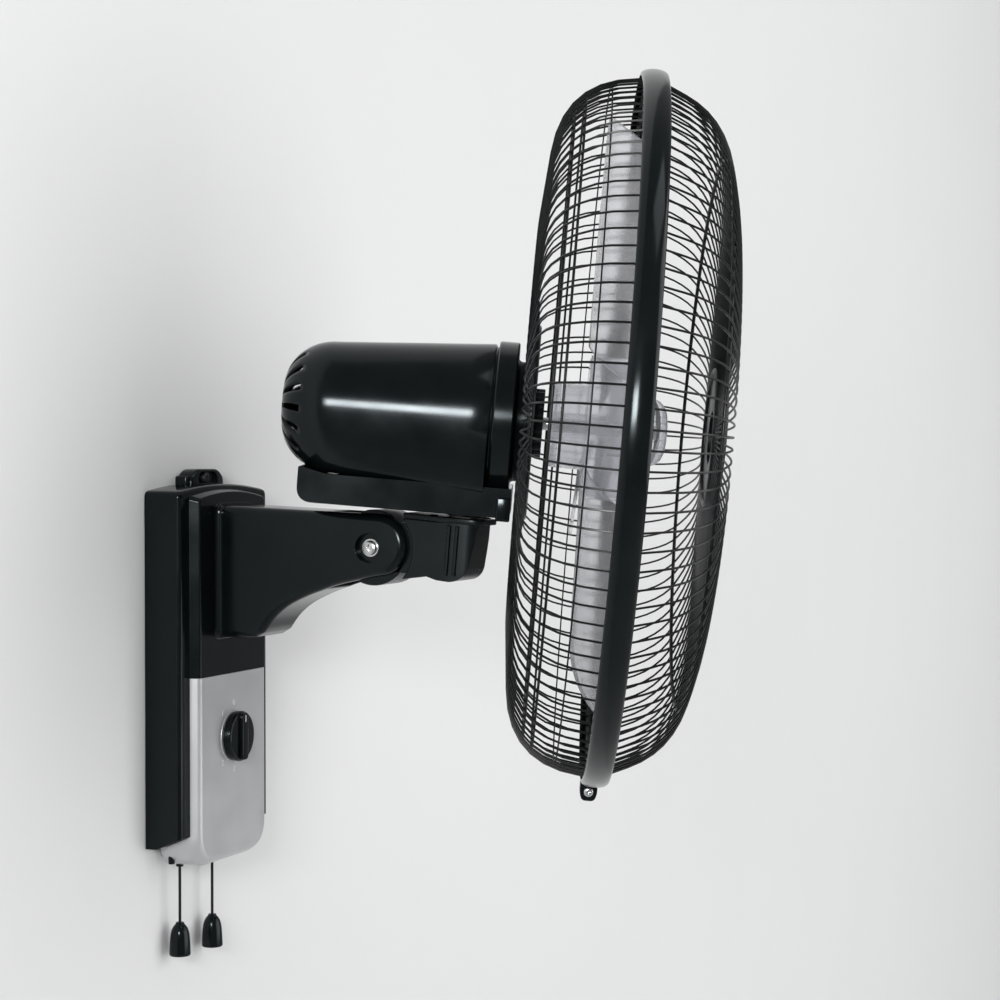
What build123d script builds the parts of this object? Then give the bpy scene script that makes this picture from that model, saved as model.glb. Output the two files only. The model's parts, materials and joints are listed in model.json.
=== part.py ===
from build123d import *
import os
from math import atan2, cos, degrees, pi, radians, sin, sqrt

os.makedirs("parts", exist_ok=True)

# Frame: the wall is the plane y = 0, the room lies on the -Y side and +Z is up.
# The origin is on the wall at the middle of the base box. Sizes are millimetres and degrees.

# --- base box on the wall
BASE_WIDTH = 115.0
BASE_HEIGHT = 233.0
HOUSING_DEPTH = 26.5
CROWN = 4.5                 # rise of the curved top edge at its middle
WALL = 2.5                  # moulded wall thickness
COVER_FOOT = 92.0           # width of the raised front cover where it leaves the housing
COVER_FACE = 86.0           # width of the raised front cover at its front face
COVER_RISE = 6.5
COVER_TOP_MARGIN = 5.0      # strip of housing left above the cover
SPLIT_HEIGHT = -5.0         # joint line between the black cover and the silver panel
SPLIT_GAP = 0.3
CHIN_DROP = 14.0            # how far the silver chin hangs below the housing
CHIN_CORNER = 13.0
CHIN_WALL_GAP = 2.0         # between the chin and the wall
CHIN_SLANT_DEPTH = 5.0      # the chin's lower front edge leans back by this
CHIN_SLANT_RISE = 9.0       # over this height
CHIN_LAP_RISE = 8.0         # the chin's upper edge climbs the housing's side towards the front
CHIN_LAP_START = 8.0        # from this far off the wall
EDGE_ROUND = 3.0
BEVEL = 3.0                 # round the housing's front edge

# --- hanging on the wall
BRACKET_WIDTH = 76.0
BRACKET_HEIGHT = 140.0
BRACKET_THICK = 1.5
WALL_HOLE_SPACING_X = 50.0
WALL_HOLE_SPACING_Z = 110.0
WALL_HOLE_RADIUS = 2.6
HOOK_WIDTH = 14.0
HOOK_REACH = 8.0
HOOK_RISE = 9.0
HOOK_HEIGHT = 32.0          # of the two hooks above and below the middle
BACK_PLATE_THICK = 2.0
BACK_PLATE_GAP = 2.0        # between the bracket and the back plate
ACCESS_HOLE_RADIUS = 6.5    # lets a wall screw's head through the back plate
LUG_WIDTH = 42.0
LUG_HEIGHT = 10.0
LUG_DEPTH = 11.0
LUG_BACK = 3.7              # the lug stands this far off the wall
LUG_RECESS_WIDTH = 26.0
LUG_RECESS_DEPTH = 3.0
CORNER_SCREW_INSET = 11.0   # of the back plate's screws from the base's edges

# --- screws: shank radius, head radius and head height
M4_SHANK = 2.0
M4_CLEARANCE = 2.2
M4_HEAD = 3.8
M4_HEAD_HEIGHT = 2.6
M3_SHANK = 1.5
M3_HEAD = 2.8
M3_HEAD_HEIGHT = 2.0

# --- arm
ARM_WIDTH = 44.0
ARM_TOP_DROP = 9.1          # the arm's top below the base's straight top edge
ARM_TIP_DROP = 4.8          # the arm's top slopes down by this to its tip
ARM_ROOT_HEIGHT = 87.4
ARM_HEEL_REACH = 67.0       # where the root block's underside turns up into the curve
ARM_HEEL_RISE = 4.0
ARM_TIP_RADIUS = 19.9
ARM_TIP_REACH = 149.8
ARM_TIP_DEPTH = 24.7        # the tip's centre below the arm's top
ARM_BELLY_REACH = 124.0     # where the underside's hollow starts
ARM_BELLY_DEPTH = 49.8
ARM_CURVE_REACH = 88.0      # a point on the hollow
ARM_CURVE_DEPTH = 62.4
ARM_EDGE_ROUND = 3.0
ARM_FLARE = 5.0             # the root spreads by this where it meets the cover
ARM_SPIGOT_WIDTH = 34.0
ARM_SPIGOT_HEIGHT = 66.0
ARM_SCREW_INSET = 6.0
ARM_SCREW_BITE = 14.0
ARM_PLATE_THICK = 2.5
ARM_PLATE_MARGIN = 6.0
FORK_SLOT = 30.0
FORK_BOTTOM_REACH = 112.0

# --- tilt pivot
PIVOT_REACH = 144.2         # from the wall
PIVOT_DEPTH = 26.5          # below the arm's top
TILT = 5.13                 # the head's nod below level in the photographed pose
DRUM_RADIUS = 24.5
DRUM_GAP = 0.4              # side clearance in the fork, taken up by the washers
TILT_BOLT_RADIUS = 3.0
TILT_RECESS_RADIUS = 8.3
TILT_RECESS_DEPTH = 4.0
TILT_HEAD_RADIUS = 5.2
TILT_HEAD_HEIGHT = 3.5
TILT_WASHER_RADIUS = 14.0
SHOULDER_RADIUS = 29.0
RUNNING = 0.05              # radial clearance of a running fit
SEAT = 0.3                  # clearance between pieces that move past each other

# --- neck, measured forward of and above the tilt pivot
POST_FORWARD = 57.4
AXIS_RISE = 88.4            # fan axis above the tilt pivot
NECK_WIDTH = 36.0
NECK_TOP = 21.4
NECK_PLATE_THICK = 3.5
NECK_PLATE_REAR = 21.0      # the plate's rear edge, forward of the tilt pivot
NECK_PLATE_LIP = 4.0        # how far the plate stands out in front of the neck
NECK_SCREW_X = 12.0
NECK_SCREW_Y = 15.0
NECK_RIB = 2.0
NECK_RIB_RISE = 0.8
NECK_FRONT = 80.0
NECK_BOTTOM = -14.4
NECK_NOSE_RADIUS = 10.0
POST_RADIUS = 6.0
POST_STEM_RADIUS = 7.0
SWING_BOSS_RADIUS = 12.5

# --- head, measured forward of the swing post along the fan axis and up from it
YAW = 21.9                  # the head's swing away from straight ahead in the photographed pose
SWING_HALF = 45.0
SHELL_REAR = -121.8
SHELL_REAR_FLAT = 14.0
SHELL_DOME_FORWARD = -90.0
SHELL_DOME_RADIUS = 41.3
SHELL_FRONT = 12.0
SHELL_FRONT_RADIUS = 48.1
SHELL_WALL = 2.2
DOME_STEPS = 4              # straight steps of the dome's curve
FLANGE_FRONT = 25.0
FLANGE_RADIUS = 50.0
FLANGE_WALL = 4.0
VENT_COUNT = 16
VENT_ANGLE = 7.0            # width of each radial vent slot, in degrees
VENT_INNER = 20.0
VENT_OUTER = 36.0
CASE_REAR = -105.9
CASE_FRONT = 27.4
CASE_BOTTOM = -60.0
CASE_HALF_WIDTH = 39.0
CASE_TOP = -18.0
CASE_WALL = 2.5
CASE_CORNER = 5.0
WINDOW_REAR = -99.0         # the shell's window down into the case
WINDOW_FRONT = -58.0
WINDOW_ANGLE = 70.0

# --- motor
SHAFT_RADIUS = 4.0
STATOR_RADIUS = 38.0
STATOR_BORE = 20.5
STATOR_REAR = -60.0
STATOR_LENGTH = 28.0
COIL_OVERHANG = 13.0
COIL_INSET = 3.0
CLAMP_THICK = 2.5
CLAMP_WIDTH = 8.0
ROTOR_GAP = 0.5
BEARING_RADIUS = 11.0
BEARING_LENGTH = 7.0
BEARING_WALL = 2.5          # of the seats round the bearings
REAR_BEARING = -92.0

# --- swing drive: a crank under the swing motor pulls a link to the lever on the post
LEVER_LENGTH = 16.0
CRANK_REACH = 78.0          # crank axis behind the post
CRANK_RADIUS = 14.5
CRANK_THICK = 3.0
LINK_THICK = 2.0
LINK_WIDTH = 8.0
CRANK_PIN_RADIUS = 2.0
SWING_MOTOR_RADIUS = 20.0
SWING_MOTOR_OFFSET = -6.0   # its drive shaft stands off its middle
SWING_MOTOR_HEIGHT = 12.0
SWING_MOTOR_EARS = 36.0     # reach of its two mounting ears each side
EAR_THICK = 1.5

# --- fan: stations forward of the swing post
RING_PLANE = 93.7
RING_RADIUS = 223.5         # outside of the welded rims
RIM_WIDTH = 3.6
RIM_HEIGHT = 4.0
WIRE_COUNT = 120
WIRE_RADIUS = 0.75
WELD_BITE = 0.4             # how far a wire sinks into what it is welded to
WIRES_PER_FLAT = 3          # each hoop has flat stretches, one to every few wires
GUARD_HUB_RADIUS = 60.0
HUB_RING_WIDTH = 3.0
HUB_RING_HEIGHT = 4.0
GUARD_HUB_BORE = 17.0
REAR_GUARD_DEPTH = 58.0     # from the ring plane back to the hub plate
REAR_WALL_RADIUS = 216.0    # the wires bend here, where the side wall ends
REAR_WALL_DEPTH = 30.0
REAR_CORNER_RADIUS = 197.0
REAR_CORNER_DEPTH = 53.0
REAR_BELLY_RADIUS = 120.0   # deepest point, outside the dished middle
REAR_BELLY_DEPTH = 63.7
FRONT_GUARD_DEPTH = 57.0
FRONT_WALL_RADIUS = 210.0
FRONT_WALL_DEPTH = 23.0
FRONT_CORNER_RADIUS = 190.0
FRONT_CORNER_DEPTH = 47.5
FRONT_BELLY_RADIUS = 136.0
FRONT_BELLY_DEPTH = 60.0
FRONT_HUB_RADIUS = 42.0
REAR_STAY_INSET = 23.0      # circular stay wire inside the radial wires, in from the rim
FRONT_STAY_INSET = 49.5
STAY_SIZE = 2.4
BAND_WIDTH = 16.5
BAND_OUTER = 226.0
BAND_GRIP = 2.0             # how far the channel's lips reach down over the rims
BAND_LUG = 12.0             # length of the screwed lug round the band
BAND_LUG_DROP = 9.0
BAND_GAP = 2.0              # between the band's two ends
BAND_BEVEL = 5.0
BAND_LIP = 1.2
PLATE_THICK = 2.0
NUT_RADIUS = 22.0
NUT_HEIGHT = 7.5
NUT_RIBS = 10
BADGE_RADIUS = 40.0
BADGE_THICK = 6.0
BADGE_BEVEL = 2.5

# --- blades
BLADE_COUNT = 3
BLADE_TIP_SWEEP = 6.0       # the tips trail the roots by this, in degrees
BLADE_RADIUS = 200.0
BLADE_FIRST = 26.5          # the first blade's angle from straight up
BLADE_THICK = 2.4
BLADE_MIDDLE = 88.0         # station of the blades' pitch line
BLADE_PITCH_ROOT = 31.0
BLADE_PITCH_TIP = 19.0
BLADE_ROOT_CHORD = 62.0
BLADE_MID_CHORD = 112.0
BLADE_TIP_CHORD = 92.0
BLADE_TIP_CORNER = 24.0     # the tips' corners are cut back by this
BLADE_CAMBER = 0.07         # height of the section's arch, as a share of its chord
HUB_RADIUS = 46.0
HUB_REAR = 70.5
HUB_FRONT = 108.0
HUB_WALL = 2.4
HUB_ROUND = 6.0
SLEEVE_RADIUS = 8.0
SLEEVE_REAR = 47.6
SLEEVE_RING_RADIUS = 27.0
SLEEVE_RING_DEPTH = 8.0
SPINNER_RADIUS = 21.0
SPINNER_FRONT = 122.0
SPINNER_SIDES = 16
SPINNER_DRAFT = 12.0
SHAFT_TIP = 6.0             # the shaft's reach into the spinner

# --- controls
KNOB_RADIUS = 17.0
KNOB_HEIGHT = -47.5
DIAL_SEAT_RADIUS = 18.0     # low round seat of the panel that the knob turns on
DIAL_SEAT_RISE = 3.7
KNOB_DISC = 6.5
KNOB_GRIP_WIDTH = 8.0
KNOB_GRIP_RISE = 2.0
KNOB_SHAFT_RADIUS = 3.0
PULL_POSITIONS = {"swing": -30.5, "power": 11.2}
PULL_FROM_WALL = 9.3
STEM_RADIUS = 1.5
CORD_RADIUS = 0.95
CORD_LENGTHS = {"swing": 37.0, "power": 39.5}
BELL_RADIUS = 7.2
BELL_NECK_RADIUS = 3.4
BELL_HEIGHT = 22.0
BELL_SHOULDER = 7.0         # height of the bell's rounded top
BELL_DISH = 2.5             # shallow hollow in its underside
BELL_DRAFT = 0.9            # how much it narrows up to its shoulder
BELL_WALL = 1.6             # rim left round the hollow
BELL_SIDES = 24
SWITCH_SIZE = (20.0, 16.0, 30.0)

HOUSING_FRONT = -HOUSING_DEPTH
COVER_FRONT = HOUSING_FRONT - COVER_RISE
BASE_BOTTOM = -BASE_HEIGHT / 2
BASE_TOP = BASE_HEIGHT / 2
CHIN_BOTTOM = BASE_BOTTOM - CHIN_DROP
ARM_TOP = BASE_TOP - ARM_TOP_DROP
ARM_ROOT_BOTTOM = ARM_TOP - ARM_ROOT_HEIGHT
PIVOT_HEIGHT = ARM_TOP - PIVOT_DEPTH

# Placements: the neck frame sits on the tilt pivot, the head frame where the post crosses the
# fan axis, and the axle frame is the head frame with its Z along the fan axis and Y up.
NECK = Location((0, -PIVOT_REACH, PIVOT_HEIGHT)) * Location((0, 0, 0), (TILT, 0, 0))
HEAD = NECK * Location((0, -POST_FORWARD, AXIS_RISE)) * Location((0, 0, 0), (0, 0, YAW))
AXLE = HEAD * Location((0, 0, 0), (90, 0, 0))


ROUND_SIDES = 48            # flats round a large turned piece: at most 0.1 mm off the true circle


def save(node, *solids):
    """Write one node: a single solid, or a group of separate solids."""
    flat = [piece for solid in solids for piece in solid.solids()]
    shape = flat[0] if len(flat) == 1 else Compound(children=flat)
    export_step(shape, f"parts/{node}.step")


def rod(radius, low, high):
    """Round bar along Z from station low to station high."""
    return Pos(0, 0, low) * Cylinder(radius, high - low, align=(Align.CENTER, Align.CENTER, Align.MIN))


def tube(outer, inner, low, high):
    return rod(outer, low, high) - rod(inner, low - 1, high + 1)


def block(x, y, z):
    """Box between the given pairs of limits."""
    size = [abs(pair[1] - pair[0]) for pair in (x, y, z)]
    middle = [(pair[0] + pair[1]) / 2 for pair in (x, y, z)]
    return Pos(*middle) * Box(*size)


def bar_x(radius, low, high):
    """Round bar along X."""
    return Rot(0, 90, 0) * rod(radius, low, high)


def bar_out(radius, near, far):
    """Round bar along Y, from y = near out to y = far on the room side."""
    return Pos(0, near, 0) * Rot(90, 0, 0) * rod(radius, 0, near - far)


def facet_rod(radius, low, high, sides=12):
    """Small bar along Z with flat sides, for screws."""
    return Pos(0, 0, low) * extrude(RegularPolygon(radius, sides), amount=high - low)


def hole_out(radius, near, far, sides=8):
    """Many-sided cutter along Y whose flats lie at the given radius, for screw clearances."""
    cutter = extrude(RegularPolygon(radius, sides, major_radius=False), amount=near - far)
    return Pos(0, near, 0) * Rot(90, 0, 0) * cutter


def facet_tube(outer, inner, low, high, sides=24):
    """Ring along Z with flat sides, for pieces that turn on nothing."""
    ring = RegularPolygon(outer, sides) - RegularPolygon(inner, sides, major_radius=False)
    return Pos(0, 0, low) * extrude(ring, amount=high - low)


def turned(points, sides=ROUND_SIDES):
    """Turned piece about Z through (radius, station) points in rising order, cut in many flats."""
    piece = Part()
    for (low_radius, low), (high_radius, high) in zip(points, points[1:]):
        if high > low:
            lean = degrees(atan2((low_radius - high_radius) * cos(pi / sides), high - low))
            foot = RegularPolygon(low_radius, sides)
            piece += Pos(0, 0, low) * extrude(foot, amount=high - low, taper=lean)
    return piece


def screw(shank, head, head_height, length):
    """Pan-head screw on the Z axis: the head's seat is at z = 0 and the shank goes down."""
    return facet_rod(shank, -length, 0, 8) + facet_rod(head, 0, head_height)


def base_outline(width, low, high, crown):
    """Front view of the base: straight sides and bottom, curved top."""
    half = width / 2
    sides = Polyline((-half, high), (-half, low), (half, low), (half, high))
    top = ThreePointArc((half, high), (0, high + crown), (-half, high))
    return make_face(sides + top)


# ---------------------------------------------------------------- base

BACK_PLATE_BACK = -(BRACKET_THICK + BACK_PLATE_GAP)
BACK_PLATE_FACE = BACK_PLATE_BACK - BACK_PLATE_THICK
HOUSING_INNER = HOUSING_FRONT + WALL
WALL_HOLES = [(sx * WALL_HOLE_SPACING_X / 2, sz * WALL_HOLE_SPACING_Z / 2)
              for sx in (-1, 1) for sz in (-1, 1)]
PLATE_SCREWS = [(sx * (BASE_WIDTH / 2 - CORNER_SCREW_INSET), sz * (BASE_HEIGHT / 2 - CORNER_SCREW_INSET)
                 - min(sz, 0) * CHIN_LAP_RISE) for sx in (-1, 1) for sz in (-1, 1)]
ARM_MIDDLE = (ARM_TOP + ARM_ROOT_BOTTOM) / 2
ARM_SCREWS = [(sx * (ARM_SPIGOT_WIDTH / 2 - ARM_SCREW_INSET),
               ARM_MIDDLE + sz * (ARM_SPIGOT_HEIGHT / 2 - ARM_SCREW_INSET))
              for sx in (-1, 1) for sz in (-1, 1)]
LOCK_SCREW_HEIGHT = BASE_TOP + CROWN + M4_HEAD + SEAT
LOCK_SCREW_SEAT = -LUG_BACK - LUG_DEPTH + LUG_RECESS_DEPTH


def make_wall_bracket():
    plate = block((-BRACKET_WIDTH / 2, BRACKET_WIDTH / 2), (-BRACKET_THICK, 0),
                  (-BRACKET_HEIGHT / 2, BRACKET_HEIGHT / 2))
    for side in (-1, 1):
        leg = block((-HOOK_WIDTH / 2, HOOK_WIDTH / 2), (-HOOK_REACH, -BRACKET_THICK),
                    (side * HOOK_HEIGHT - BRACKET_THICK, side * HOOK_HEIGHT))
        tip = block((-HOOK_WIDTH / 2, HOOK_WIDTH / 2), (-HOOK_REACH, -HOOK_REACH + BRACKET_THICK),
                    (side * HOOK_HEIGHT - BRACKET_THICK, side * HOOK_HEIGHT + HOOK_RISE))
        plate += leg + tip
    for x, z in WALL_HOLES:
        plate -= Pos(x, 0, z) * bar_out(WALL_HOLE_RADIUS, 1, -BRACKET_THICK - 1)
    return plate


def make_back_plate():
    """Steel rear plate: its two slots hang on the bracket's hooks."""
    half_w = BASE_WIDTH / 2 - WALL - SEAT
    half_h = BASE_HEIGHT / 2 - WALL - SEAT
    plate = block((-half_w, half_w), (BACK_PLATE_FACE, BACK_PLATE_BACK), (-half_h, half_h))
    for side in (-1, 1):
        plate -= block((-HOOK_WIDTH / 2 - 1, HOOK_WIDTH / 2 + 1),
                       (BACK_PLATE_FACE - 1, BACK_PLATE_BACK + 1),
                       (side * HOOK_HEIGHT - BRACKET_THICK - HOOK_RISE - 2, side * HOOK_HEIGHT))
    for x, z in WALL_HOLES:
        plate -= Pos(x, 0, z) * hole_out(ACCESS_HOLE_RADIUS, BACK_PLATE_BACK + 1, BACK_PLATE_FACE - 1, 16)
    for x, z in PLATE_SCREWS:
        plate -= Pos(x, 0, z) * hole_out(M4_CLEARANCE, BACK_PLATE_BACK + 1, BACK_PLATE_FACE - 1)
    return plate


PLATE_SCREW_LENGTH = 12.0


def make_back_plate_screws():
    """Screws from the wall side into the housing's corner bosses."""
    head = Rot(-90, 0, 0) * screw(M4_SHANK, M4_HEAD, BACK_PLATE_GAP - SEAT, PLATE_SCREW_LENGTH)
    return [Pos(x, BACK_PLATE_BACK, z) * head for x, z in PLATE_SCREWS]


def lug_outline(width, height):
    """Arched front view of the top lug, sitting on the crown."""
    foot = BASE_TOP + CROWN - 3
    top = BASE_TOP + CROWN + height
    shoulder = top - height * 0.45
    half = width / 2
    sides = Polyline((-half, shoulder), (-half, foot), (half, foot), (half, shoulder))
    arch = ThreePointArc((half, shoulder), (0, top), (-half, shoulder))
    return make_face(sides + arch)


def lap_cut(rise, forward):
    """Space below the line where the chin laps up the housing's side towards the front."""
    start = (-CHIN_LAP_START, BASE_BOTTOM + rise)
    climb = CHIN_LAP_RISE / (HOUSING_DEPTH - CHIN_LAP_START)
    front = (HOUSING_FRONT - forward, BASE_BOTTOM + rise + CHIN_LAP_RISE + forward * climb)
    low = CHIN_BOTTOM - CHIN_DROP
    wedge = Polyline((1, BASE_BOTTOM + rise), start, front, (front[0], low), (1, low), close=True)
    return extrude(make_face(Plane.YZ * wedge), amount=BASE_WIDTH, both=True)


BOSS_RADIUS = 4.5


def make_rear_housing():
    outer = base_outline(BASE_WIDTH, BASE_BOTTOM, BASE_TOP, CROWN)
    inner = base_outline(BASE_WIDTH - 2 * WALL, BASE_BOTTOM, BASE_TOP - WALL, CROWN)
    shell = extrude(Plane.XZ * outer, amount=HOUSING_DEPTH)
    corners = shell.edges().filter_by(Axis.Y)
    shell = fillet(corners, EDGE_ROUND)
    front_rim = shell.faces().sort_by(Axis.Y)[0].edges()
    shell = chamfer(front_rim, BEVEL) - lap_cut(0, 1)
    lug = extrude(Plane.XZ * lug_outline(LUG_WIDTH, LUG_HEIGHT), amount=LUG_DEPTH)
    shell += Pos(0, -LUG_BACK, 0) * lug
    shell -= extrude(Plane.XZ * inner, amount=HOUSING_DEPTH - WALL) - lap_cut(WALL, 1)
    boss = HOUSING_INNER - BACK_PLATE_FACE
    for x, z in PLATE_SCREWS:
        shell += Pos(x, BACK_PLATE_FACE, z) * Rot(90, 0, 0) * facet_rod(BOSS_RADIUS, 0, -boss)
        shell -= Pos(x, 0, z) * hole_out(M4_SHANK, 1, HOUSING_INNER)
    recess = Pos(0, LOCK_SCREW_SEAT, 0) * extrude(
        Plane.XZ * lug_outline(LUG_RECESS_WIDTH, LUG_HEIGHT - 1.2), amount=LUG_RECESS_DEPTH + 1)
    above_crown = block((-LUG_WIDTH, LUG_WIDTH), (-HOUSING_DEPTH, 0), (BASE_TOP + CROWN, 2 * BASE_TOP))
    shell -= recess & above_crown
    shell -= Pos(0, 0, LOCK_SCREW_HEIGHT) * hole_out(M4_CLEARANCE, 1, -HOUSING_DEPTH)
    # openings in the front wall: selector switch, arm screws
    shell -= Pos(0, 0, KNOB_HEIGHT) * hole_out(ROTARY_RADIUS + 1, HOUSING_INNER + 1, HOUSING_FRONT - 1, 24)
    for x, z in ARM_SCREWS:
        shell -= Pos(x, 0, z) * hole_out(M4_CLEARANCE, HOUSING_INNER + 1, HOUSING_FRONT - 1)
    for x in PULL_POSITIONS.values():
        way = rod(STEM_RADIUS + 2, BASE_BOTTOM - 1, BASE_BOTTOM + CHIN_LAP_RISE + WALL)
        shell -= Pos(x, -PULL_FROM_WALL, 0) * way
    return shell


def cover_blank(inset):
    """Raised tray over the housing's front, drawn in towards its face; inset shrinks it inside."""
    foot = base_outline(COVER_FOOT - 2 * inset, CHIN_BOTTOM, BASE_TOP - COVER_TOP_MARGIN - inset, CROWN)
    draft = degrees(atan2((COVER_FOOT - COVER_FACE) / 2, COVER_RISE))
    return Pos(0, HOUSING_FRONT, 0) * extrude(Plane.XZ * foot, amount=COVER_RISE - inset, taper=draft)


def half_space(low, high):
    """Everything between two heights, wide enough for the base."""
    return block((-BASE_WIDTH, BASE_WIDTH), (-2 * HOUSING_DEPTH, HOUSING_DEPTH), (low, high))


def make_front_cover():
    tray = cover_blank(0) & half_space(SPLIT_HEIGHT, BASE_HEIGHT)
    tray -= cover_blank(WALL) & half_space(SPLIT_HEIGHT + WALL, BASE_HEIGHT)
    half = ARM_SPIGOT_WIDTH / 2
    tray -= block((-half, half), (COVER_FRONT - 1, HOUSING_FRONT + 1),
                  (ARM_MIDDLE - ARM_SPIGOT_HEIGHT / 2, ARM_MIDDLE + ARM_SPIGOT_HEIGHT / 2))
    return tray


def panel_outline(inset):
    """Front view of the silver cover: as wide as the cover's foot, with round lower corners."""
    half = COVER_FOOT / 2 - inset
    low = CHIN_BOTTOM + inset
    radius = CHIN_CORNER - inset
    sides = Polyline((-half, low + radius), (-half, 0), (half, 0), (half, low + radius))
    slant = radius * (1 - sqrt(0.5))
    left = ThreePointArc((-half, low + radius), (-half + slant, low + slant), (-half + radius, low))
    right = ThreePointArc((half - radius, low), (half - slant, low + slant), (half, low + radius))
    return make_face(sides + left + right + Line((-half + radius, low), (half - radius, low)))


def chin_slant(inset):
    """Space in front of the chin's backward-leaning lower edge."""
    front = COVER_FRONT + inset
    top = (front, CHIN_BOTTOM + CHIN_SLANT_RISE + inset)
    foot = (front + CHIN_SLANT_DEPTH, CHIN_BOTTOM + inset)
    low = CHIN_BOTTOM - CHIN_DROP
    lean = Polyline(top, foot, (foot[0], low), (front - COVER_RISE, low), (front - COVER_RISE, top[1]),
                    close=True)
    return extrude(make_face(Plane.YZ * lean), amount=BASE_WIDTH, both=True)


def panel_form(inset):
    """Tray and chin as one closed form, drawn in by the inset on every side but the open ones."""
    outline = panel_outline(inset)
    high = SPLIT_HEIGHT - SPLIT_GAP - inset
    round_off = extrude(Plane.XZ * outline, amount=2 * HOUSING_DEPTH)
    tray = cover_blank(inset) & half_space(CHIN_BOTTOM, high) & round_off
    back = CHIN_WALL_GAP + inset
    chin = Pos(0, -back, 0) * extrude(Plane.XZ * outline, amount=HOUSING_DEPTH - back)
    return tray + (chin & lap_cut(-SPLIT_GAP, 0)) - chin_slant(inset)


def make_control_panel():
    """Silver lower cover: the raised tray with a chin that wraps under the housing."""
    panel = panel_form(0) - panel_form(WALL)
    seat = bar_out(DIAL_SEAT_RADIUS, COVER_FRONT + WALL / 2, COVER_FRONT - DIAL_SEAT_RISE)
    panel += Pos(0, 0, KNOB_HEIGHT) * seat
    panel -= Pos(0, 0, KNOB_HEIGHT) * hole_out(KNOB_SHAFT_RADIUS + 1, HOUSING_FRONT,
                                               COVER_FRONT - DIAL_SEAT_RISE - 1, 16)
    for x in PULL_POSITIONS.values():
        hole = facet_rod(EYELET_RADIUS, CHIN_BOTTOM - 1, CHIN_BOTTOM + WALL + 1, EYELET_SIDES)
        panel -= Pos(x, -PULL_FROM_WALL, 0) * hole
    return panel - GLAND * facet_rod(GLAND_RADIUS, CHIN_BOTTOM - 1, CHIN_BOTTOM + CHIN_CORNER)


EYELET_RADIUS = 3.2
EYELET_FLANGE = 4.4
EYELET_SIDES = 16
EYELET_BOTTOM = CHIN_BOTTOM - 1.2
ROTARY_RADIUS = 15.0
ROTARY_FRONT = COVER_FRONT + WALL
ROTARY_BACK = -13.0
GLAND = Pos(-COVER_FOOT / 2 + CHIN_CORNER * 0.4, -PULL_FROM_WALL, 0)
GLAND_RADIUS = 2.4
GLAND_DROP = 0.5


def make_eyelets():
    """Flanged eyelets in the chin that guide the pull cords."""
    bore = STEM_RADIUS + SEAT
    ring = facet_tube(EYELET_RADIUS, bore, CHIN_BOTTOM, CHIN_BOTTOM + WALL, EYELET_SIDES)
    ring += facet_tube(EYELET_FLANGE, bore, EYELET_BOTTOM, CHIN_BOTTOM, EYELET_SIDES)
    return [Pos(x, -PULL_FROM_WALL, 0) * ring for x in PULL_POSITIONS.values()]


def make_cable_gland():
    """Small blanked gland under the chin, beside the left cord."""
    return GLAND * facet_rod(GLAND_RADIUS, CHIN_BOTTOM - GLAND_DROP, CHIN_BOTTOM + CHIN_CORNER / 2)


def make_lock_screw():
    bolt = Rot(90, 0, 0) * screw(M4_SHANK, M4_HEAD, M4_HEAD_HEIGHT, -LOCK_SCREW_SEAT - 0.5)
    return Pos(0, LOCK_SCREW_SEAT, LOCK_SCREW_HEIGHT) * bolt


def arm_outline():
    """Side profile of the arm, run on into the cover by the width of its edge bevel."""
    tip_y = -ARM_TIP_REACH
    tip_z = ARM_TOP - ARM_TIP_DEPTH
    slope = atan2(ARM_TIP_DROP, ARM_TIP_REACH)
    tip_top = (tip_y - ARM_TIP_RADIUS * sin(slope), tip_z + ARM_TIP_RADIUS * cos(slope))
    tip_end = (tip_y - ARM_TIP_RADIUS, tip_z)
    under_turn = radians(17.5)
    tip_low = (tip_y - ARM_TIP_RADIUS * sin(under_turn), tip_z - ARM_TIP_RADIUS * cos(under_turn))
    root = COVER_FRONT + ARM_EDGE_ROUND
    heel = (-ARM_HEEL_REACH, ARM_ROOT_BOTTOM + ARM_HEEL_RISE)
    belly = (-ARM_BELLY_REACH, ARM_TOP - ARM_BELLY_DEPTH)
    curve = (-ARM_CURVE_REACH, ARM_TOP - ARM_CURVE_DEPTH)
    upper = Polyline((root, ARM_ROOT_BOTTOM), (root, ARM_TOP), tip_top)
    nose = ThreePointArc(tip_top, tip_end, tip_low)
    under = Line(tip_low, belly) + ThreePointArc(belly, curve, heel)
    return make_face(Plane.YZ * (upper + nose + under + Line(heel, (root, ARM_ROOT_BOTTOM))))


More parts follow.
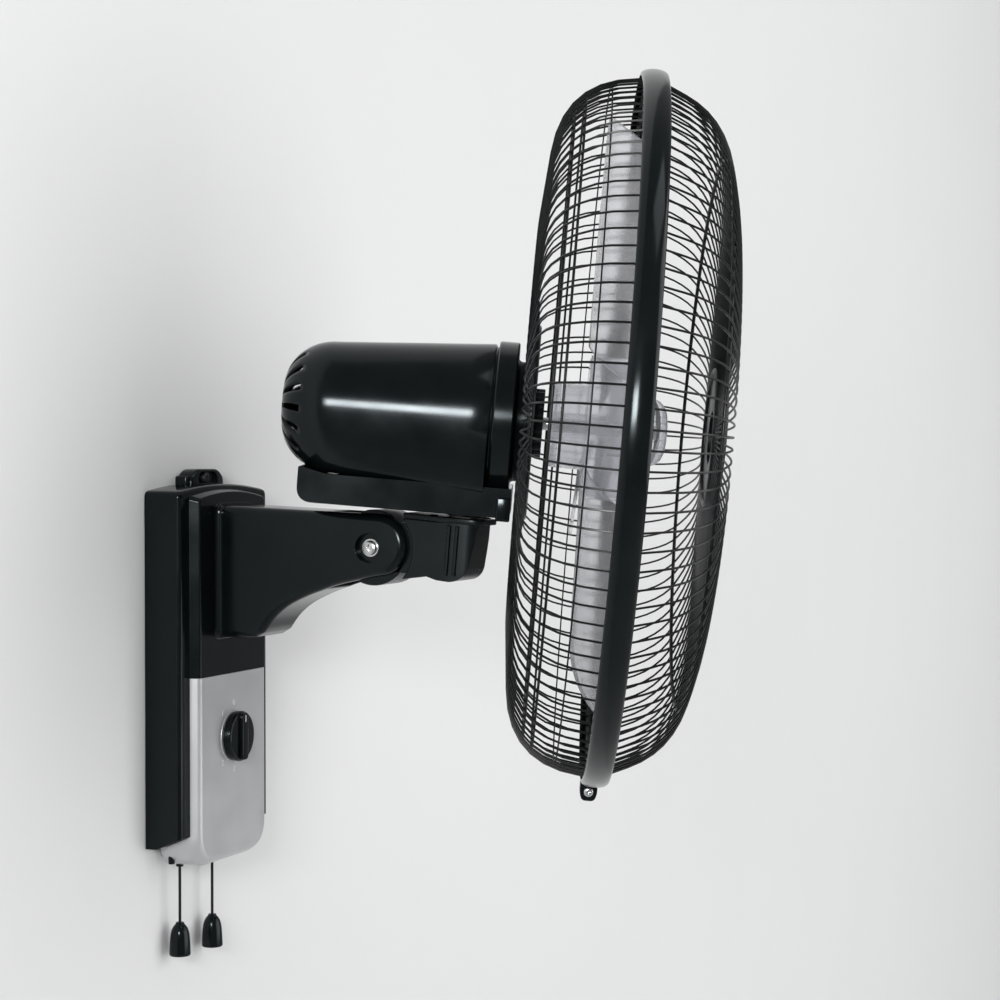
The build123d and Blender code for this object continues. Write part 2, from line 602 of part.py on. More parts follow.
def make_support_arm():
    """Moulded arm: side profile with a hollowed underside, forked at its end for the neck's drum."""
    outline = arm_outline()
    core_half = ARM_WIDTH / 2 - ARM_EDGE_ROUND
    edge = Pos(core_half, 0, 0) * extrude(outline, amount=ARM_EDGE_ROUND, taper=45)
    arm = extrude(outline, amount=core_half, both=True) + edge + mirror(edge, about=Plane.YZ)
    arm &= block((-ARM_WIDTH, ARM_WIDTH), (-2 * ARM_TIP_REACH, COVER_FRONT), (0, 2 * BASE_TOP))
    root = Rectangle(ARM_WIDTH + ARM_FLARE, ARM_ROOT_HEIGHT)
    arm += Pos(0, COVER_FRONT, ARM_MIDDLE) * Rot(90, 0, 0) * extrude(root, amount=ARM_FLARE, taper=25)
    arm += block((-ARM_SPIGOT_WIDTH / 2, ARM_SPIGOT_WIDTH / 2), (HOUSING_FRONT, COVER_FRONT),
                 (ARM_MIDDLE - ARM_SPIGOT_HEIGHT / 2, ARM_MIDDLE + ARM_SPIGOT_HEIGHT / 2))
    arm -= block((-FORK_SLOT / 2, FORK_SLOT / 2), (-2 * ARM_TIP_REACH, -FORK_BOTTOM_REACH),
                 (0, 2 * BASE_TOP))
    pivot = Pos(0, -PIVOT_REACH, PIVOT_HEIGHT)
    arm -= pivot * bar_x(TILT_BOLT_RADIUS, -ARM_WIDTH, ARM_WIDTH)
    for side in (-1, 1):
        outer = side * ARM_WIDTH / 2
        arm -= pivot * bar_x(TILT_RECESS_RADIUS, *sorted((outer - side * TILT_RECESS_DEPTH, outer + side)))
    for x, z in ARM_SCREWS:
        arm -= Pos(x, 0, z) * hole_out(M4_SHANK, HOUSING_FRONT + 1, HOUSING_FRONT - ARM_SCREW_BITE)
    return arm


def make_arm_plate():
    """Steel plate inside the base that spreads the arm's load."""
    half = ARM_SPIGOT_WIDTH / 2 + ARM_PLATE_MARGIN
    tall = ARM_SPIGOT_HEIGHT / 2 + ARM_PLATE_MARGIN
    back = HOUSING_INNER + ARM_PLATE_THICK
    plate = block((-half, half), (HOUSING_INNER, back), (ARM_MIDDLE - tall, ARM_MIDDLE + tall))
    for x, z in ARM_SCREWS:
        plate -= Pos(x, 0, z) * hole_out(M4_CLEARANCE, back + 1, HOUSING_INNER - 1)
    return plate


def make_arm_screws():
    length = ARM_PLATE_THICK + WALL + ARM_SCREW_BITE
    bolt = Rot(-90, 0, 0) * screw(M4_SHANK, M4_HEAD, M4_HEAD_HEIGHT, length)
    return [Pos(x, HOUSING_INNER + ARM_PLATE_THICK, z) * bolt for x, z in ARM_SCREWS]


def make_tilt_bolt():
    """Through bolt of the tilt pivot: its head is in the far recess."""
    seat = ARM_WIDTH / 2 - TILT_RECESS_DEPTH
    bolt = bar_x(TILT_BOLT_RADIUS, -ARM_WIDTH / 2 + 0.5, seat) + bar_x(TILT_HEAD_RADIUS, seat,
                                                                      seat + TILT_HEAD_HEIGHT)
    return NECK * bolt


def make_tilt_nut():
    seat = -ARM_WIDTH / 2 + TILT_RECESS_DEPTH
    nut = extrude(RegularPolygon(TILT_HEAD_RADIUS, 6), amount=TILT_HEAD_HEIGHT - 1)
    nut = Pos(seat - TILT_HEAD_HEIGHT + 1, 0, 0) * Rot(0, 90, 0) * nut
    return NECK * (nut - bar_x(TILT_BOLT_RADIUS, -ARM_WIDTH, ARM_WIDTH))


# ---------------------------------------------------------------- neck

NECK_HALF = NECK_WIDTH / 2
DRUM_HALF = FORK_SLOT / 2 - DRUM_GAP
PLATE_TOP = NECK_TOP + NECK_PLATE_THICK
GEAR_CASE_BOTTOM = AXIS_RISE + CASE_BOTTOM      # in the neck frame
POST_FOOT = NECK_BOTTOM + 5
LEVER_BOTTOM = CASE_BOTTOM + CASE_WALL + 0.6 + LINK_THICK + 0.7


def make_neck():
    """Drum in the arm's fork, shoulders round the fork's cheeks and the body that holds the post."""
    high = radians(47)
    low = radians(-38)
    arc = [(-SHOULDER_RADIUS * cos(a), SHOULDER_RADIUS * sin(a)) for a in (high, (high + low) / 2, low)]
    nose_turn = NECK_NOSE_RADIUS * (1 - sqrt(0.5))
    top_line = Polyline(arc[0], (-26, NECK_TOP), (-NECK_FRONT, NECK_TOP),
                        (-NECK_FRONT + 1.5, NECK_BOTTOM + NECK_NOSE_RADIUS))
    nose = ThreePointArc((-NECK_FRONT + 1.5, NECK_BOTTOM + NECK_NOSE_RADIUS),
                         (-NECK_FRONT + 1.5 + nose_turn, NECK_BOTTOM + nose_turn),
                         (-NECK_FRONT + 1.5 + NECK_NOSE_RADIUS, NECK_BOTTOM))
    bottom = Polyline((-NECK_FRONT + 1.5 + NECK_NOSE_RADIUS, NECK_BOTTOM), (-57, NECK_BOTTOM), arc[2])
    outline = make_face(Plane.YZ * (top_line + nose + bottom + ThreePointArc(arc[2], arc[1], arc[0])))
    body = extrude(outline, amount=NECK_HALF, both=True)
    tongue = block((-DRUM_HALF, DRUM_HALF), (-SHOULDER_RADIUS - 6, 0), (-14, 18))
    body += bar_x(DRUM_RADIUS, -DRUM_HALF, DRUM_HALF) + tongue
    for side in (-1, 1):
        for rib in (-34, -40):
            body += block(sorted((side * NECK_HALF, side * (NECK_HALF + NECK_RIB_RISE))),
                          (rib - NECK_RIB / 2, rib + NECK_RIB / 2), (-8, NECK_TOP))
    body -= bar_x(TILT_BOLT_RADIUS + RUNNING, -NECK_WIDTH, NECK_WIDTH)
    body -= Pos(0, -POST_FORWARD, 0) * rod(POST_STEM_RADIUS, POST_FOOT, NECK_TOP + 1)
    return NECK * body


def make_tilt_washers():
    """Friction washers each side of the drum."""
    spans = ((-FORK_SLOT / 2, -DRUM_HALF - RUNNING), (DRUM_HALF + RUNNING, FORK_SLOT / 2))
    return [NECK * Rot(0, 90, 0) * facet_tube(TILT_WASHER_RADIUS, TILT_BOLT_RADIUS + 2 * RUNNING, *span)
            for span in spans]


NECK_SCREWS = [(sx * NECK_SCREW_X, -POST_FORWARD + sy * NECK_SCREW_Y)
               for sx in (-1, 1) for sy in (-1, 1)]


def make_neck_plate():
    """Steel top plate of the neck: its front lip is the swing stop."""
    plate = block((-NECK_HALF, NECK_HALF), (-NECK_FRONT - NECK_PLATE_LIP, -NECK_PLATE_REAR),
                  (NECK_TOP, PLATE_TOP))
    plate -= Pos(0, -POST_FORWARD, 0) * rod(POST_STEM_RADIUS, NECK_TOP - 1, PLATE_TOP + 1)
    for x, y in NECK_SCREWS:
        plate -= Pos(x, y, 0) * facet_rod(M3_SHANK, NECK_TOP - 1, PLATE_TOP + 1)
    return NECK * plate


def make_neck_screws():
    """Countersunk screws, flush with the plate's top."""
    return [NECK * Pos(x, y, 0) * facet_rod(M3_SHANK, NECK_TOP, PLATE_TOP) for x, y in NECK_SCREWS]


def make_swing_post():
    """Steel post: stem pressed into the neck, journal up through the gear case."""
    post = rod(POST_STEM_RADIUS, POST_FOOT, PLATE_TOP)
    post += rod(POST_RADIUS, PLATE_TOP, AXIS_RISE + LEVER_BOTTOM + CRANK_THICK + 3)
    return NECK * Pos(0, -POST_FORWARD, 0) * post


def make_post_lever():
    """Lever fixed on the post's top, pulled by the swing link."""
    low = AXIS_RISE + LEVER_BOTTOM
    high = low + CRANK_THICK
    lever = rod(POST_RADIUS + 4, low, high)
    lever += block((-LEVER_LENGTH, 0), (-4, 4), (low, high))
    lever += Pos(-LEVER_LENGTH, 0, 0) * rod(4, low, high + 1.5)
    lever -= rod(POST_RADIUS, low - 1, high + 3)
    return NECK * Pos(0, -POST_FORWARD, 0) * lever


def make_post_clip():
    low = AXIS_RISE + LEVER_BOTTOM + CRANK_THICK
    return NECK * Pos(0, -POST_FORWARD, 0) * facet_tube(POST_RADIUS + 3, POST_RADIUS, low, low + 1.2)


# ---------------------------------------------------------------- head

def shell_form(inset):
    """Outside of the motor shell, or its inside when drawn in by the wall."""
    flat = (SHELL_REAR_FLAT, SHELL_REAR + inset)
    dome = (SHELL_DOME_RADIUS - inset, SHELL_DOME_FORWARD)
    curve = []
    for step in range(DOME_STEPS):
        turn = pi / 2 * step / DOME_STEPS
        curve.append((flat[0] + (dome[0] - flat[0]) * sin(turn), dome[1] + (flat[1] - dome[1]) * cos(turn)))
    front = (SHELL_FRONT_RADIUS - inset, SHELL_FRONT + (1 if inset else 0))
    return turned([*curve, dome, front])


def sector(inner, outer, low, high, angle, middle):
    """Part of a ring about Z whose two ends are radial, centred on a direction in degrees."""
    outline = Polyline((inner, low), (outer, low), (outer, high), (inner, high), close=True)
    ring = make_face(Plane.XZ * outline)
    return Rot(0, 0, middle - angle / 2) * revolve(ring, Axis.Z, revolution_arc=angle)


def make_motor_shell():
    shell = shell_form(0) - shell_form(SHELL_WALL)
    for index in range(VENT_COUNT):
        shell -= sector(VENT_INNER, VENT_OUTER, SHELL_REAR - 1, SHELL_DOME_FORWARD, VENT_ANGLE,
                        index * 360 / VENT_COUNT)
    # boss that holds the rear bearing
    boss = facet_rod(BEARING_RADIUS + BEARING_WALL, SHELL_REAR + 1, REAR_BEARING + BEARING_LENGTH, 24)
    shell += boss - rod(BEARING_RADIUS, SHELL_REAR + SHELL_WALL, REAR_BEARING + BEARING_LENGTH)
    # window down into the gear case
    shell -= sector(VENT_OUTER, FLANGE_RADIUS, WINDOW_REAR, WINDOW_FRONT, WINDOW_ANGLE, -90)
    return AXLE * shell


def make_gear_case():
    """Flat-bottomed tray that saddles the shell from below and holds the swing drive."""
    half = CASE_HALF_WIDTH
    tray = block((-half, half), (CASE_BOTTOM, CASE_TOP), (CASE_REAR, CASE_FRONT))
    rounded = tray.edges().filter_by(Axis.Z).group_by(Axis.Y)[0] + tray.edges().filter_by(
        Axis.X).group_by(Axis.Y)[0].sort_by(Axis.Z)[0:1]
    tray = fillet(rounded, CASE_CORNER)
    tray -= block((CASE_WALL - half, half - CASE_WALL), (CASE_BOTTOM + CASE_WALL, 0),
                  (CASE_REAR + CASE_WALL, CASE_FRONT - CASE_WALL))
    tray -= shell_form(0) + turned([(FLANGE_RADIUS, SHELL_FRONT), (FLANGE_RADIUS, CASE_FRONT + 1)])
    tray = AXLE * tray
    boss_low = PLATE_TOP - AXIS_RISE + THRUST_THICK
    boss = rod(SWING_BOSS_RADIUS, boss_low, CASE_BOTTOM + 0.5)
    tray += HEAD * boss
    return tray - HEAD * rod(BUSH_RADIUS, boss_low - 1, CASE_BOTTOM + CASE_WALL + 1)


THRUST_THICK = 0.8
BUSH_RADIUS = POST_RADIUS + 2.0


def make_swing_bush():
    low = PLATE_TOP - AXIS_RISE + THRUST_THICK
    return HEAD * tube(BUSH_RADIUS, POST_RADIUS + RUNNING, low, CASE_BOTTOM + CASE_WALL)


def make_thrust_washer():
    low = PLATE_TOP - AXIS_RISE + RUNNING
    high = PLATE_TOP - AXIS_RISE + THRUST_THICK
    return HEAD * facet_tube(SWING_BOSS_RADIUS - 1, POST_RADIUS + RUNNING, low, high)


def make_front_flange():
    """Front end cover: closes the shell, carries the front bearing and the guard's spigot."""
    face = FLANGE_FRONT - FLANGE_WALL
    pilot = GUARD_SEAT + PLATE_THICK + NUT_HEIGHT
    flange = turned([(FLANGE_RADIUS, SHELL_FRONT), (FLANGE_RADIUS, FLANGE_FRONT),
                     (GUARD_SPIGOT_RADIUS, FLANGE_FRONT), (GUARD_SPIGOT_RADIUS, GUARD_SEAT)])
    flange += rod(GUARD_HUB_BORE - RUNNING, GUARD_SEAT, pilot)
    flange -= facet_rod(FLANGE_RADIUS - FLANGE_WALL, SHELL_FRONT - 1, face, ROUND_SIDES)
    flange += facet_rod(BEARING_RADIUS + BEARING_WALL, FRONT_BEARING, face, 24)
    flange -= rod(BEARING_RADIUS, FRONT_BEARING - 1, FRONT_BEARING + BEARING_LENGTH)
    return AXLE * (flange - facet_rod(SHAFT_RADIUS + 1, SHELL_FRONT - 1, pilot + 1))


GUARD_SEAT = RING_PLANE - REAR_GUARD_DEPTH - PLATE_THICK
GUARD_SPIGOT_RADIUS = 38.0
FRONT_BEARING = SHELL_FRONT + 2


def make_stator():
    return AXLE * facet_tube(STATOR_RADIUS, STATOR_BORE, STATOR_REAR, STATOR_REAR + STATOR_LENGTH)


def make_stator_coils():
    """Wound end turns on both faces of the stator stack."""
    spans = ((STATOR_REAR - COIL_OVERHANG, STATOR_REAR),
             (STATOR_REAR + STATOR_LENGTH, STATOR_REAR + STATOR_LENGTH + COIL_OVERHANG))
    outer = STATOR_RADIUS - COIL_INSET
    return [AXLE * facet_tube(outer, STATOR_BORE + COIL_INSET, *span) for span in spans]


def make_bearing(station):
    return AXLE * tube(BEARING_RADIUS, SHAFT_RADIUS + RUNNING, station, station + BEARING_LENGTH)


def make_stator_clamps():
    """Four bars that hold the stator stack between the shell and the flange."""
    bar = block((STATOR_RADIUS, STATOR_RADIUS + CLAMP_THICK), (-CLAMP_WIDTH / 2, CLAMP_WIDTH / 2),
                (STATOR_REAR, FRONT_BEARING))
    return [AXLE * Rot(0, 0, turn) * bar for turn in (45, 135, 225, 315)]


def make_swing_motor():
    """Small synchronous motor over the crank; its drive shaft points down."""
    low = LEVER_BOTTOM + CRANK_THICK + 0.5
    motor = facet_rod(SWING_MOTOR_RADIUS, low, low + SWING_MOTOR_HEIGHT, 24)
    ears = Pos(-SWING_MOTOR_OFFSET, 0, 0) * block((-SWING_MOTOR_EARS, SWING_MOTOR_EARS), (-4, 4),
                                                  (low, low + EAR_THICK))
    return HEAD * Pos(SWING_MOTOR_OFFSET, CRANK_REACH, 0) * (motor + ears)


CRANK_START = 2 * YAW                    # crank angle when the head stands at YAW
CRANK_THROW = LEVER_LENGTH * sin(radians(SWING_HALF))
CRANK_AXIS = (-LEVER_LENGTH, CRANK_REACH)


def crank_pin_place():
    angle = radians(CRANK_START)
    return (CRANK_AXIS[0] + CRANK_THROW * cos(angle), CRANK_AXIS[1] + CRANK_THROW * sin(angle))


def make_swing_crank():
    low = LEVER_BOTTOM
    disc = Pos(*CRANK_AXIS, 0) * facet_rod(CRANK_RADIUS, low, low + CRANK_THICK, 24)
    pin = Pos(*crank_pin_place(), 0) * rod(CRANK_PIN_RADIUS, low - 0.7 - LINK_THICK, low)
    return HEAD * (disc + pin)


def make_swing_link():
    """Flat link from the crank pin towards the lever on the post."""
    low = LEVER_BOTTOM - 0.5 - LINK_THICK
    start = crank_pin_place()
    end = (-LEVER_LENGTH * cos(radians(YAW)), LEVER_LENGTH * sin(radians(YAW)))
    run = sqrt((end[0] - start[0]) ** 2 + (end[1] - start[1]) ** 2)
    turn = degrees(atan2(end[1] - start[1], end[0] - start[0]))
    link = block((0, run), (-LINK_WIDTH / 2, LINK_WIDTH / 2), (low, low + LINK_THICK))
    eye = rod(LINK_WIDTH / 2, low, low + LINK_THICK)
    link += eye + Pos(run, 0, 0) * eye
    link -= rod(CRANK_PIN_RADIUS + RUNNING, low - 1, low + LINK_THICK + 1)
    return HEAD * Pos(*start, 0) * Rot(0, 0, turn) * link


# ---------------------------------------------------------------- guards

def radial_wire(points):
    """One straight-run wire in the XZ plane, of three-sided section."""
    path = Plane.XZ * Polyline(*points)
    start = path @ 0
    heading = path % 0
    section = Plane(origin=start, x_dir=(0, 1, 0), z_dir=heading) * RegularPolygon(WIRE_RADIUS * 1.25, 3)
    return sweep(section, path=path, transition=Transition.RIGHT)


RIM_SIDES = WIRE_COUNT // WIRES_PER_FLAT


def hoop(radius, width, low, high):
    """Hoop of many flats with its outside corners at the given radius."""
    half_flat = 180 / RIM_SIDES
    outer = RegularPolygon(radius, RIM_SIDES, rotation=half_flat)
    inner = RegularPolygon(radius - width / cos(pi / RIM_SIDES), RIM_SIDES, rotation=half_flat)
    return Pos(0, 0, low) * extrude(outer - inner, amount=high - low)


def wire_at(points, radius):
    """Station of a wire's middle where it crosses a radius, and its slope there."""
    for (start, first), (end, last) in zip(points, points[1:]):
        if end <= radius < start:
            slope = (last - first) / (end - start)
            return first + slope * (radius - start), slope


def make_guard(points, rim_low, stay_radius, stay_side, hub_plate_low):
    """Welded guard: radial wires, outer rim, stay ring and hub plate as one piece."""
    wire = radial_wire(points)
    step = 360 / WIRE_COUNT
    wires = [Rot(0, 0, (index + 0.5) * step) * wire for index in range(WIRE_COUNT)]
    frame = hoop(RING_RADIUS, RIM_WIDTH, rim_low, rim_low + RIM_HEIGHT)
    hub_radius, hub_middle = points[-1]
    hub_low = hub_middle - HUB_RING_HEIGHT / 2
    hub_outer = hub_radius + WELD_BITE + WIRE_RADIUS
    hub = hoop(hub_outer, HUB_RING_WIDTH, hub_low, hub_low + HUB_RING_HEIGHT)
    disc = RegularPolygon(hub_outer - HUB_RING_WIDTH / 2, RIM_SIDES, rotation=180 / RIM_SIDES)
    hub += Pos(0, 0, hub_plate_low) * extrude(disc, amount=PLATE_THICK)
    hub -= rod(GUARD_HUB_BORE, hub_plate_low - 1, hub_plate_low + PLATE_THICK + 1)
    station, slope = wire_at(points, stay_radius)
    reach = (WIRE_RADIUS + STAY_SIZE / 2 - WELD_BITE) * sqrt(1 + slope ** 2)
    stay_low = station + stay_side * reach - STAY_SIZE / 2
    stay = hoop(stay_radius + STAY_SIZE / 2, STAY_SIZE, stay_low, stay_low + STAY_SIZE)
    return AXLE * frame.fuse(stay, hub, *wires)


WIRE_RING_RADIUS = RING_RADIUS - RIM_WIDTH - WELD_BITE


def make_rear_guard():
    rim_low = RING_PLANE - RIM_HEIGHT - SEAT
    points = [(WIRE_RING_RADIUS, rim_low + RIM_HEIGHT / 2),
              (REAR_WALL_RADIUS, RING_PLANE - REAR_WALL_DEPTH),
              (REAR_CORNER_RADIUS, RING_PLANE - REAR_CORNER_DEPTH),
              (REAR_BELLY_RADIUS, RING_PLANE - REAR_BELLY_DEPTH),
              (GUARD_HUB_RADIUS, GUARD_SEAT + HUB_RING_HEIGHT / 2)]
    return make_guard(points, rim_low, RING_RADIUS - REAR_STAY_INSET, 1, GUARD_SEAT)


def make_front_guard():
    rim_low = RING_PLANE + SEAT
    plate_low = RING_PLANE + FRONT_GUARD_DEPTH - PLATE_THICK / 2
    points = [(WIRE_RING_RADIUS, rim_low + RIM_HEIGHT / 2),
              (FRONT_WALL_RADIUS, RING_PLANE + FRONT_WALL_DEPTH),
              (FRONT_CORNER_RADIUS, RING_PLANE + FRONT_CORNER_DEPTH),
              (FRONT_BELLY_RADIUS, RING_PLANE + FRONT_BELLY_DEPTH),
              (FRONT_HUB_RADIUS, plate_low + PLATE_THICK - HUB_RING_HEIGHT / 2)]
    return make_guard(points, rim_low, RING_RADIUS - FRONT_STAY_INSET, -1, plate_low)


def make_guard_nut():
    """Ribbed plastic nut that clamps the rear guard to the flange's spigot."""
    low = GUARD_SEAT + PLATE_THICK
    ribs = RegularPolygon(NUT_RADIUS, NUT_RIBS)
    ribs += RegularPolygon(NUT_RADIUS, NUT_RIBS, rotation=180 / NUT_RIBS)
    nut = Pos(0, 0, low) * extrude(ribs, amount=NUT_HEIGHT)
    return AXLE * (nut - rod(GUARD_HUB_BORE - RUNNING, low - 1, low + NUT_HEIGHT + 1))


LUG_MIDDLE = -BAND_OUTER - BAND_LUG_DROP / 2
LUG_STATION = RING_PLANE - 1.0


def make_clamp_band():
    """Moulded channel that grips both rims; its two ends meet at a screwed lug at the bottom."""
    half = BAND_WIDTH / 2
    inner = RING_RADIUS + SEAT / 2
    grip = RIM_HEIGHT + SEAT * 1.5
    tuck = RING_RADIUS - BAND_GRIP
    lug_half = half - BAND_BEVEL
    outside = turned([(tuck + BAND_LIP, -half), (BAND_OUTER, -lug_half), (BAND_OUTER, lug_half),
                      (tuck + BAND_LIP, half)], WIRE_COUNT)
    channel = turned([(tuck, -half - 1), (tuck, -grip), (inner, -grip), (inner, grip), (tuck, grip),
                      (tuck, half + 1)], WIRE_COUNT)
    band = Pos(0, 0, RING_PLANE) * (outside - channel)
    lug = block((-BAND_LUG / 2, BAND_LUG / 2), (-BAND_OUTER - BAND_LUG_DROP, -BAND_OUTER + 1),
                (LUG_STATION - lug_half, LUG_STATION + lug_half))
    gap = block((-BAND_GAP / 2, BAND_GAP / 2), (-BAND_OUTER - BAND_LUG_DROP - 1, -tuck + 1),
                (RING_PLANE - half - 1, RING_PLANE + half + 1))
    hole = Pos(0, LUG_MIDDLE, LUG_STATION) * Rot(0, 90, 0) * facet_rod(M3_SHANK, -BAND_LUG, BAND_LUG)
    return AXLE * (band + lug - gap - hole)


def make_band_screw():
    bolt = facet_rod(M3_SHANK, -BAND_LUG / 2, BAND_LUG / 2 + 3)
    bolt += facet_rod(M3_HEAD, -BAND_LUG / 2 - M3_HEAD_HEIGHT, -BAND_LUG / 2)
    return AXLE * Pos(0, LUG_MIDDLE, LUG_STATION) * Rot(0, 90, 0) * bolt


def make_badge():
    """Plain domed disc on the front guard's hub."""
    low = RING_PLANE + FRONT_GUARD_DEPTH + PLATE_THICK / 2
    disc = turned([(BADGE_RADIUS, low), (BADGE_RADIUS, low + BADGE_THICK - BADGE_BEVEL),
                   (BADGE_RADIUS - BADGE_BEVEL, low + BADGE_THICK)])
    return AXLE * (disc + facet_rod(GUARD_HUB_BORE - RUNNING, low - PLATE_THICK, low, 24))


# ---------------------------------------------------------------- rotor

def make_motor_shaft():
    return AXLE * rod(SHAFT_RADIUS, REAR_BEARING - 4, HUB_FRONT + SHAFT_TIP)


def make_rotor_core():
    core = facet_rod(STATOR_BORE - ROTOR_GAP, STATOR_REAR, STATOR_REAR + STATOR_LENGTH, 24)
    return AXLE * (core - rod(SHAFT_RADIUS, STATOR_REAR - 1, STATOR_REAR + STATOR_LENGTH + 1))


def blade_section(radius, chord, pitch, sweep_angle):
    """Cambered strip across the blade at one radius, turned to its pitch and swept in plan."""
    camber = chord * BLADE_CAMBER
    half = chord / 2
    shares = (-1, -0.5, 0, 0.5, 1)
    lower = [(share * half, camber * (1 - share ** 2)) for share in shares]
    upper = [(x, y + BLADE_THICK) for x, y in reversed(lower)]
    face = make_face(Polyline(*lower, *upper, close=True))
    place = Plane(origin=(0, radius, BLADE_MIDDLE), x_dir=(1, 0, 0), z_dir=(0, 1, 0))
    return Rot(0, 0, -sweep_angle) * place.location * Rot(0, 0, pitch) * face


def tip_outline():
    """Tall prism round a blade whose outer corners are cut off in two steps, leaning as the tip does."""
    edge = BLADE_TIP_CHORD / 2
    cut = BLADE_TIP_CORNER
    half = [(BLADE_MID_CHORD, 0), (BLADE_MID_CHORD, BLADE_RADIUS - cut * 1.5), (edge, BLADE_RADIUS - cut),
            (edge - cut * 0.3, BLADE_RADIUS - cut * 0.3), (edge - cut, BLADE_RADIUS + 1)]
    outline = Polyline(*half, *[(-x, y) for x, y in reversed(half)], close=True)
    prism = extrude(make_face(outline), amount=2 * BLADE_MID_CHORD)
    return Rot(0, 0, -BLADE_TIP_SWEEP) * Pos(0, 0, HUB_REAR - BLADE_MID_CHORD / 2) * prism


def make_fan_blades():
    """Three twisted blades on a domed hub, moulded in one piece."""
    stations = [(HUB_RADIUS - 4, BLADE_ROOT_CHORD, BLADE_PITCH_ROOT, 0),
                (HUB_RADIUS + 58, BLADE_MID_CHORD, (BLADE_PITCH_ROOT + BLADE_PITCH_TIP) / 2, 2),
                (BLADE_RADIUS + 1, BLADE_TIP_CHORD, BLADE_PITCH_TIP, BLADE_TIP_SWEEP)]
    blade = loft([blade_section(*station) for station in stations], ruled=True)
    blade &= rod(BLADE_RADIUS, HUB_REAR - 30, HUB_FRONT + 30) & tip_outline()
    inner = HUB_RADIUS - HUB_WALL
    ring = SLEEVE_REAR + SLEEVE_RING_DEPTH
    shoulder = HUB_FRONT - HUB_ROUND
    hub = turned([(HUB_RADIUS, HUB_REAR), (HUB_RADIUS, shoulder), (HUB_RADIUS - HUB_ROUND, HUB_FRONT)])
    hub -= turned([(inner, HUB_REAR - 1), (inner, shoulder), (inner - HUB_ROUND, HUB_FRONT - HUB_WALL)])
    collar = facet_rod(SLEEVE_RING_RADIUS, SLEEVE_REAR, ring, ROUND_SIDES)
    collar -= facet_rod(SLEEVE_RING_RADIUS - HUB_WALL, SLEEVE_REAR - 1, ring - HUB_WALL, ROUND_SIDES)
    hub += collar + facet_rod(SLEEVE_RADIUS, SLEEVE_REAR, HUB_FRONT, BELL_SIDES)
    core = rod(inner + HUB_WALL / 2, HUB_REAR - 30, HUB_FRONT + 30)
    for index in range(BLADE_COUNT):
        hub += Rot(0, 0, BLADE_FIRST + index * 360 / BLADE_COUNT) * (blade - core)
    return AXLE * (hub - rod(SHAFT_RADIUS, SLEEVE_REAR - 1, HUB_FRONT + 1))


def make_spinner():
    grip = RegularPolygon(SPINNER_RADIUS, SPINNER_SIDES)
    nut = Pos(0, 0, HUB_FRONT) * extrude(grip, amount=SPINNER_FRONT - HUB_FRONT, taper=SPINNER_DRAFT)
    return AXLE * (nut - rod(SHAFT_RADIUS, HUB_FRONT - 1, HUB_FRONT + SHAFT_TIP))


# ---------------------------------------------------------------- controls

def make_knob():
    """Selector knob: disc with a grip across it, and a shaft into the switch."""
    face = COVER_FRONT - DIAL_SEAT_RISE - SEAT
    knob = bar_out(KNOB_RADIUS, face, face - KNOB_DISC)
    grip = block((-KNOB_GRIP_WIDTH / 2, KNOB_GRIP_WIDTH / 2),
                 (face - KNOB_DISC - KNOB_GRIP_RISE, face - KNOB_DISC),
                 (-KNOB_RADIUS + 1, KNOB_RADIUS - 1))
    grip = fillet(grip.edges().filter_by(Axis.Y), KNOB_GRIP_WIDTH * 0.4)
    shaft = bar_out(KNOB_SHAFT_RADIUS, ROTARY_BACK - 6, face)
    return Pos(0, 0, KNOB_HEIGHT) * (knob + grip + shaft)


def make_rotary_switch():
    can = facet_rod(ROTARY_RADIUS, 0, ROTARY_BACK - ROTARY_FRONT, 24)
    body = Pos(0, ROTARY_BACK, 0) * Rot(90, 0, 0) * can
    body -= bar_out(KNOB_SHAFT_RADIUS + RUNNING, ROTARY_BACK - 6 + SEAT, ROTARY_FRONT - 1)
    body += block((-6, 6), (ROTARY_BACK, BACK_PLATE_FACE - 0.2), (-6, 6))
    return Pos(0, 0, KNOB_HEIGHT) * body


SWITCH_BOTTOM = BASE_BOTTOM + CHIN_LAP_RISE + WALL
SWITCH_BACK = BACK_PLATE_FACE - 0.2
PLUNGER_TOP = SWITCH_BOTTOM + SWITCH_SIZE[2] - 4


def make_pull_switch(name):
    x = PULL_POSITIONS[name]
    wide, deep, tall = SWITCH_SIZE
    body = block((x - wide / 2, x + wide / 2), (SWITCH_BACK - deep, SWITCH_BACK),
                 (SWITCH_BOTTOM, SWITCH_BOTTOM + tall))
    bore = rod(STEM_RADIUS + 0.5, SWITCH_BOTTOM - 1, PLUNGER_TOP + SEAT)
    return body - Pos(x, -PULL_FROM_WALL, 0) * bore


def make_pull_stem(name):
    return Pos(PULL_POSITIONS[name], -PULL_FROM_WALL, 0) * rod(STEM_RADIUS, EYELET_BOTTOM, PLUNGER_TOP)


def make_pull_cord(name):
    low = EYELET_BOTTOM - CORD_LENGTHS[name]
    return Pos(PULL_POSITIONS[name], -PULL_FROM_WALL, 0) * rod(CORD_RADIUS, low, EYELET_BOTTOM)


def make_pull_bell(name):
    """Bell-shaped grip at the cord's end, hollow below."""
    high = EYELET_BOTTOM - CORD_LENGTHS[name]
    low = high - BELL_HEIGHT
    shoulder = (BELL_RADIUS + BELL_NECK_RADIUS) / 2 + 1
    bell = turned([(BELL_RADIUS, low), (BELL_RADIUS - BELL_DRAFT, high - BELL_SHOULDER),
                   (shoulder, high - BELL_SHOULDER / 3), (BELL_NECK_RADIUS, high)], BELL_SIDES)
    bell -= turned([(BELL_RADIUS - BELL_WALL, low), (BELL_NECK_RADIUS, low + BELL_DISH)], BELL_SIDES)
    return Pos(PULL_POSITIONS[name], -PULL_FROM_WALL, 0) * bell


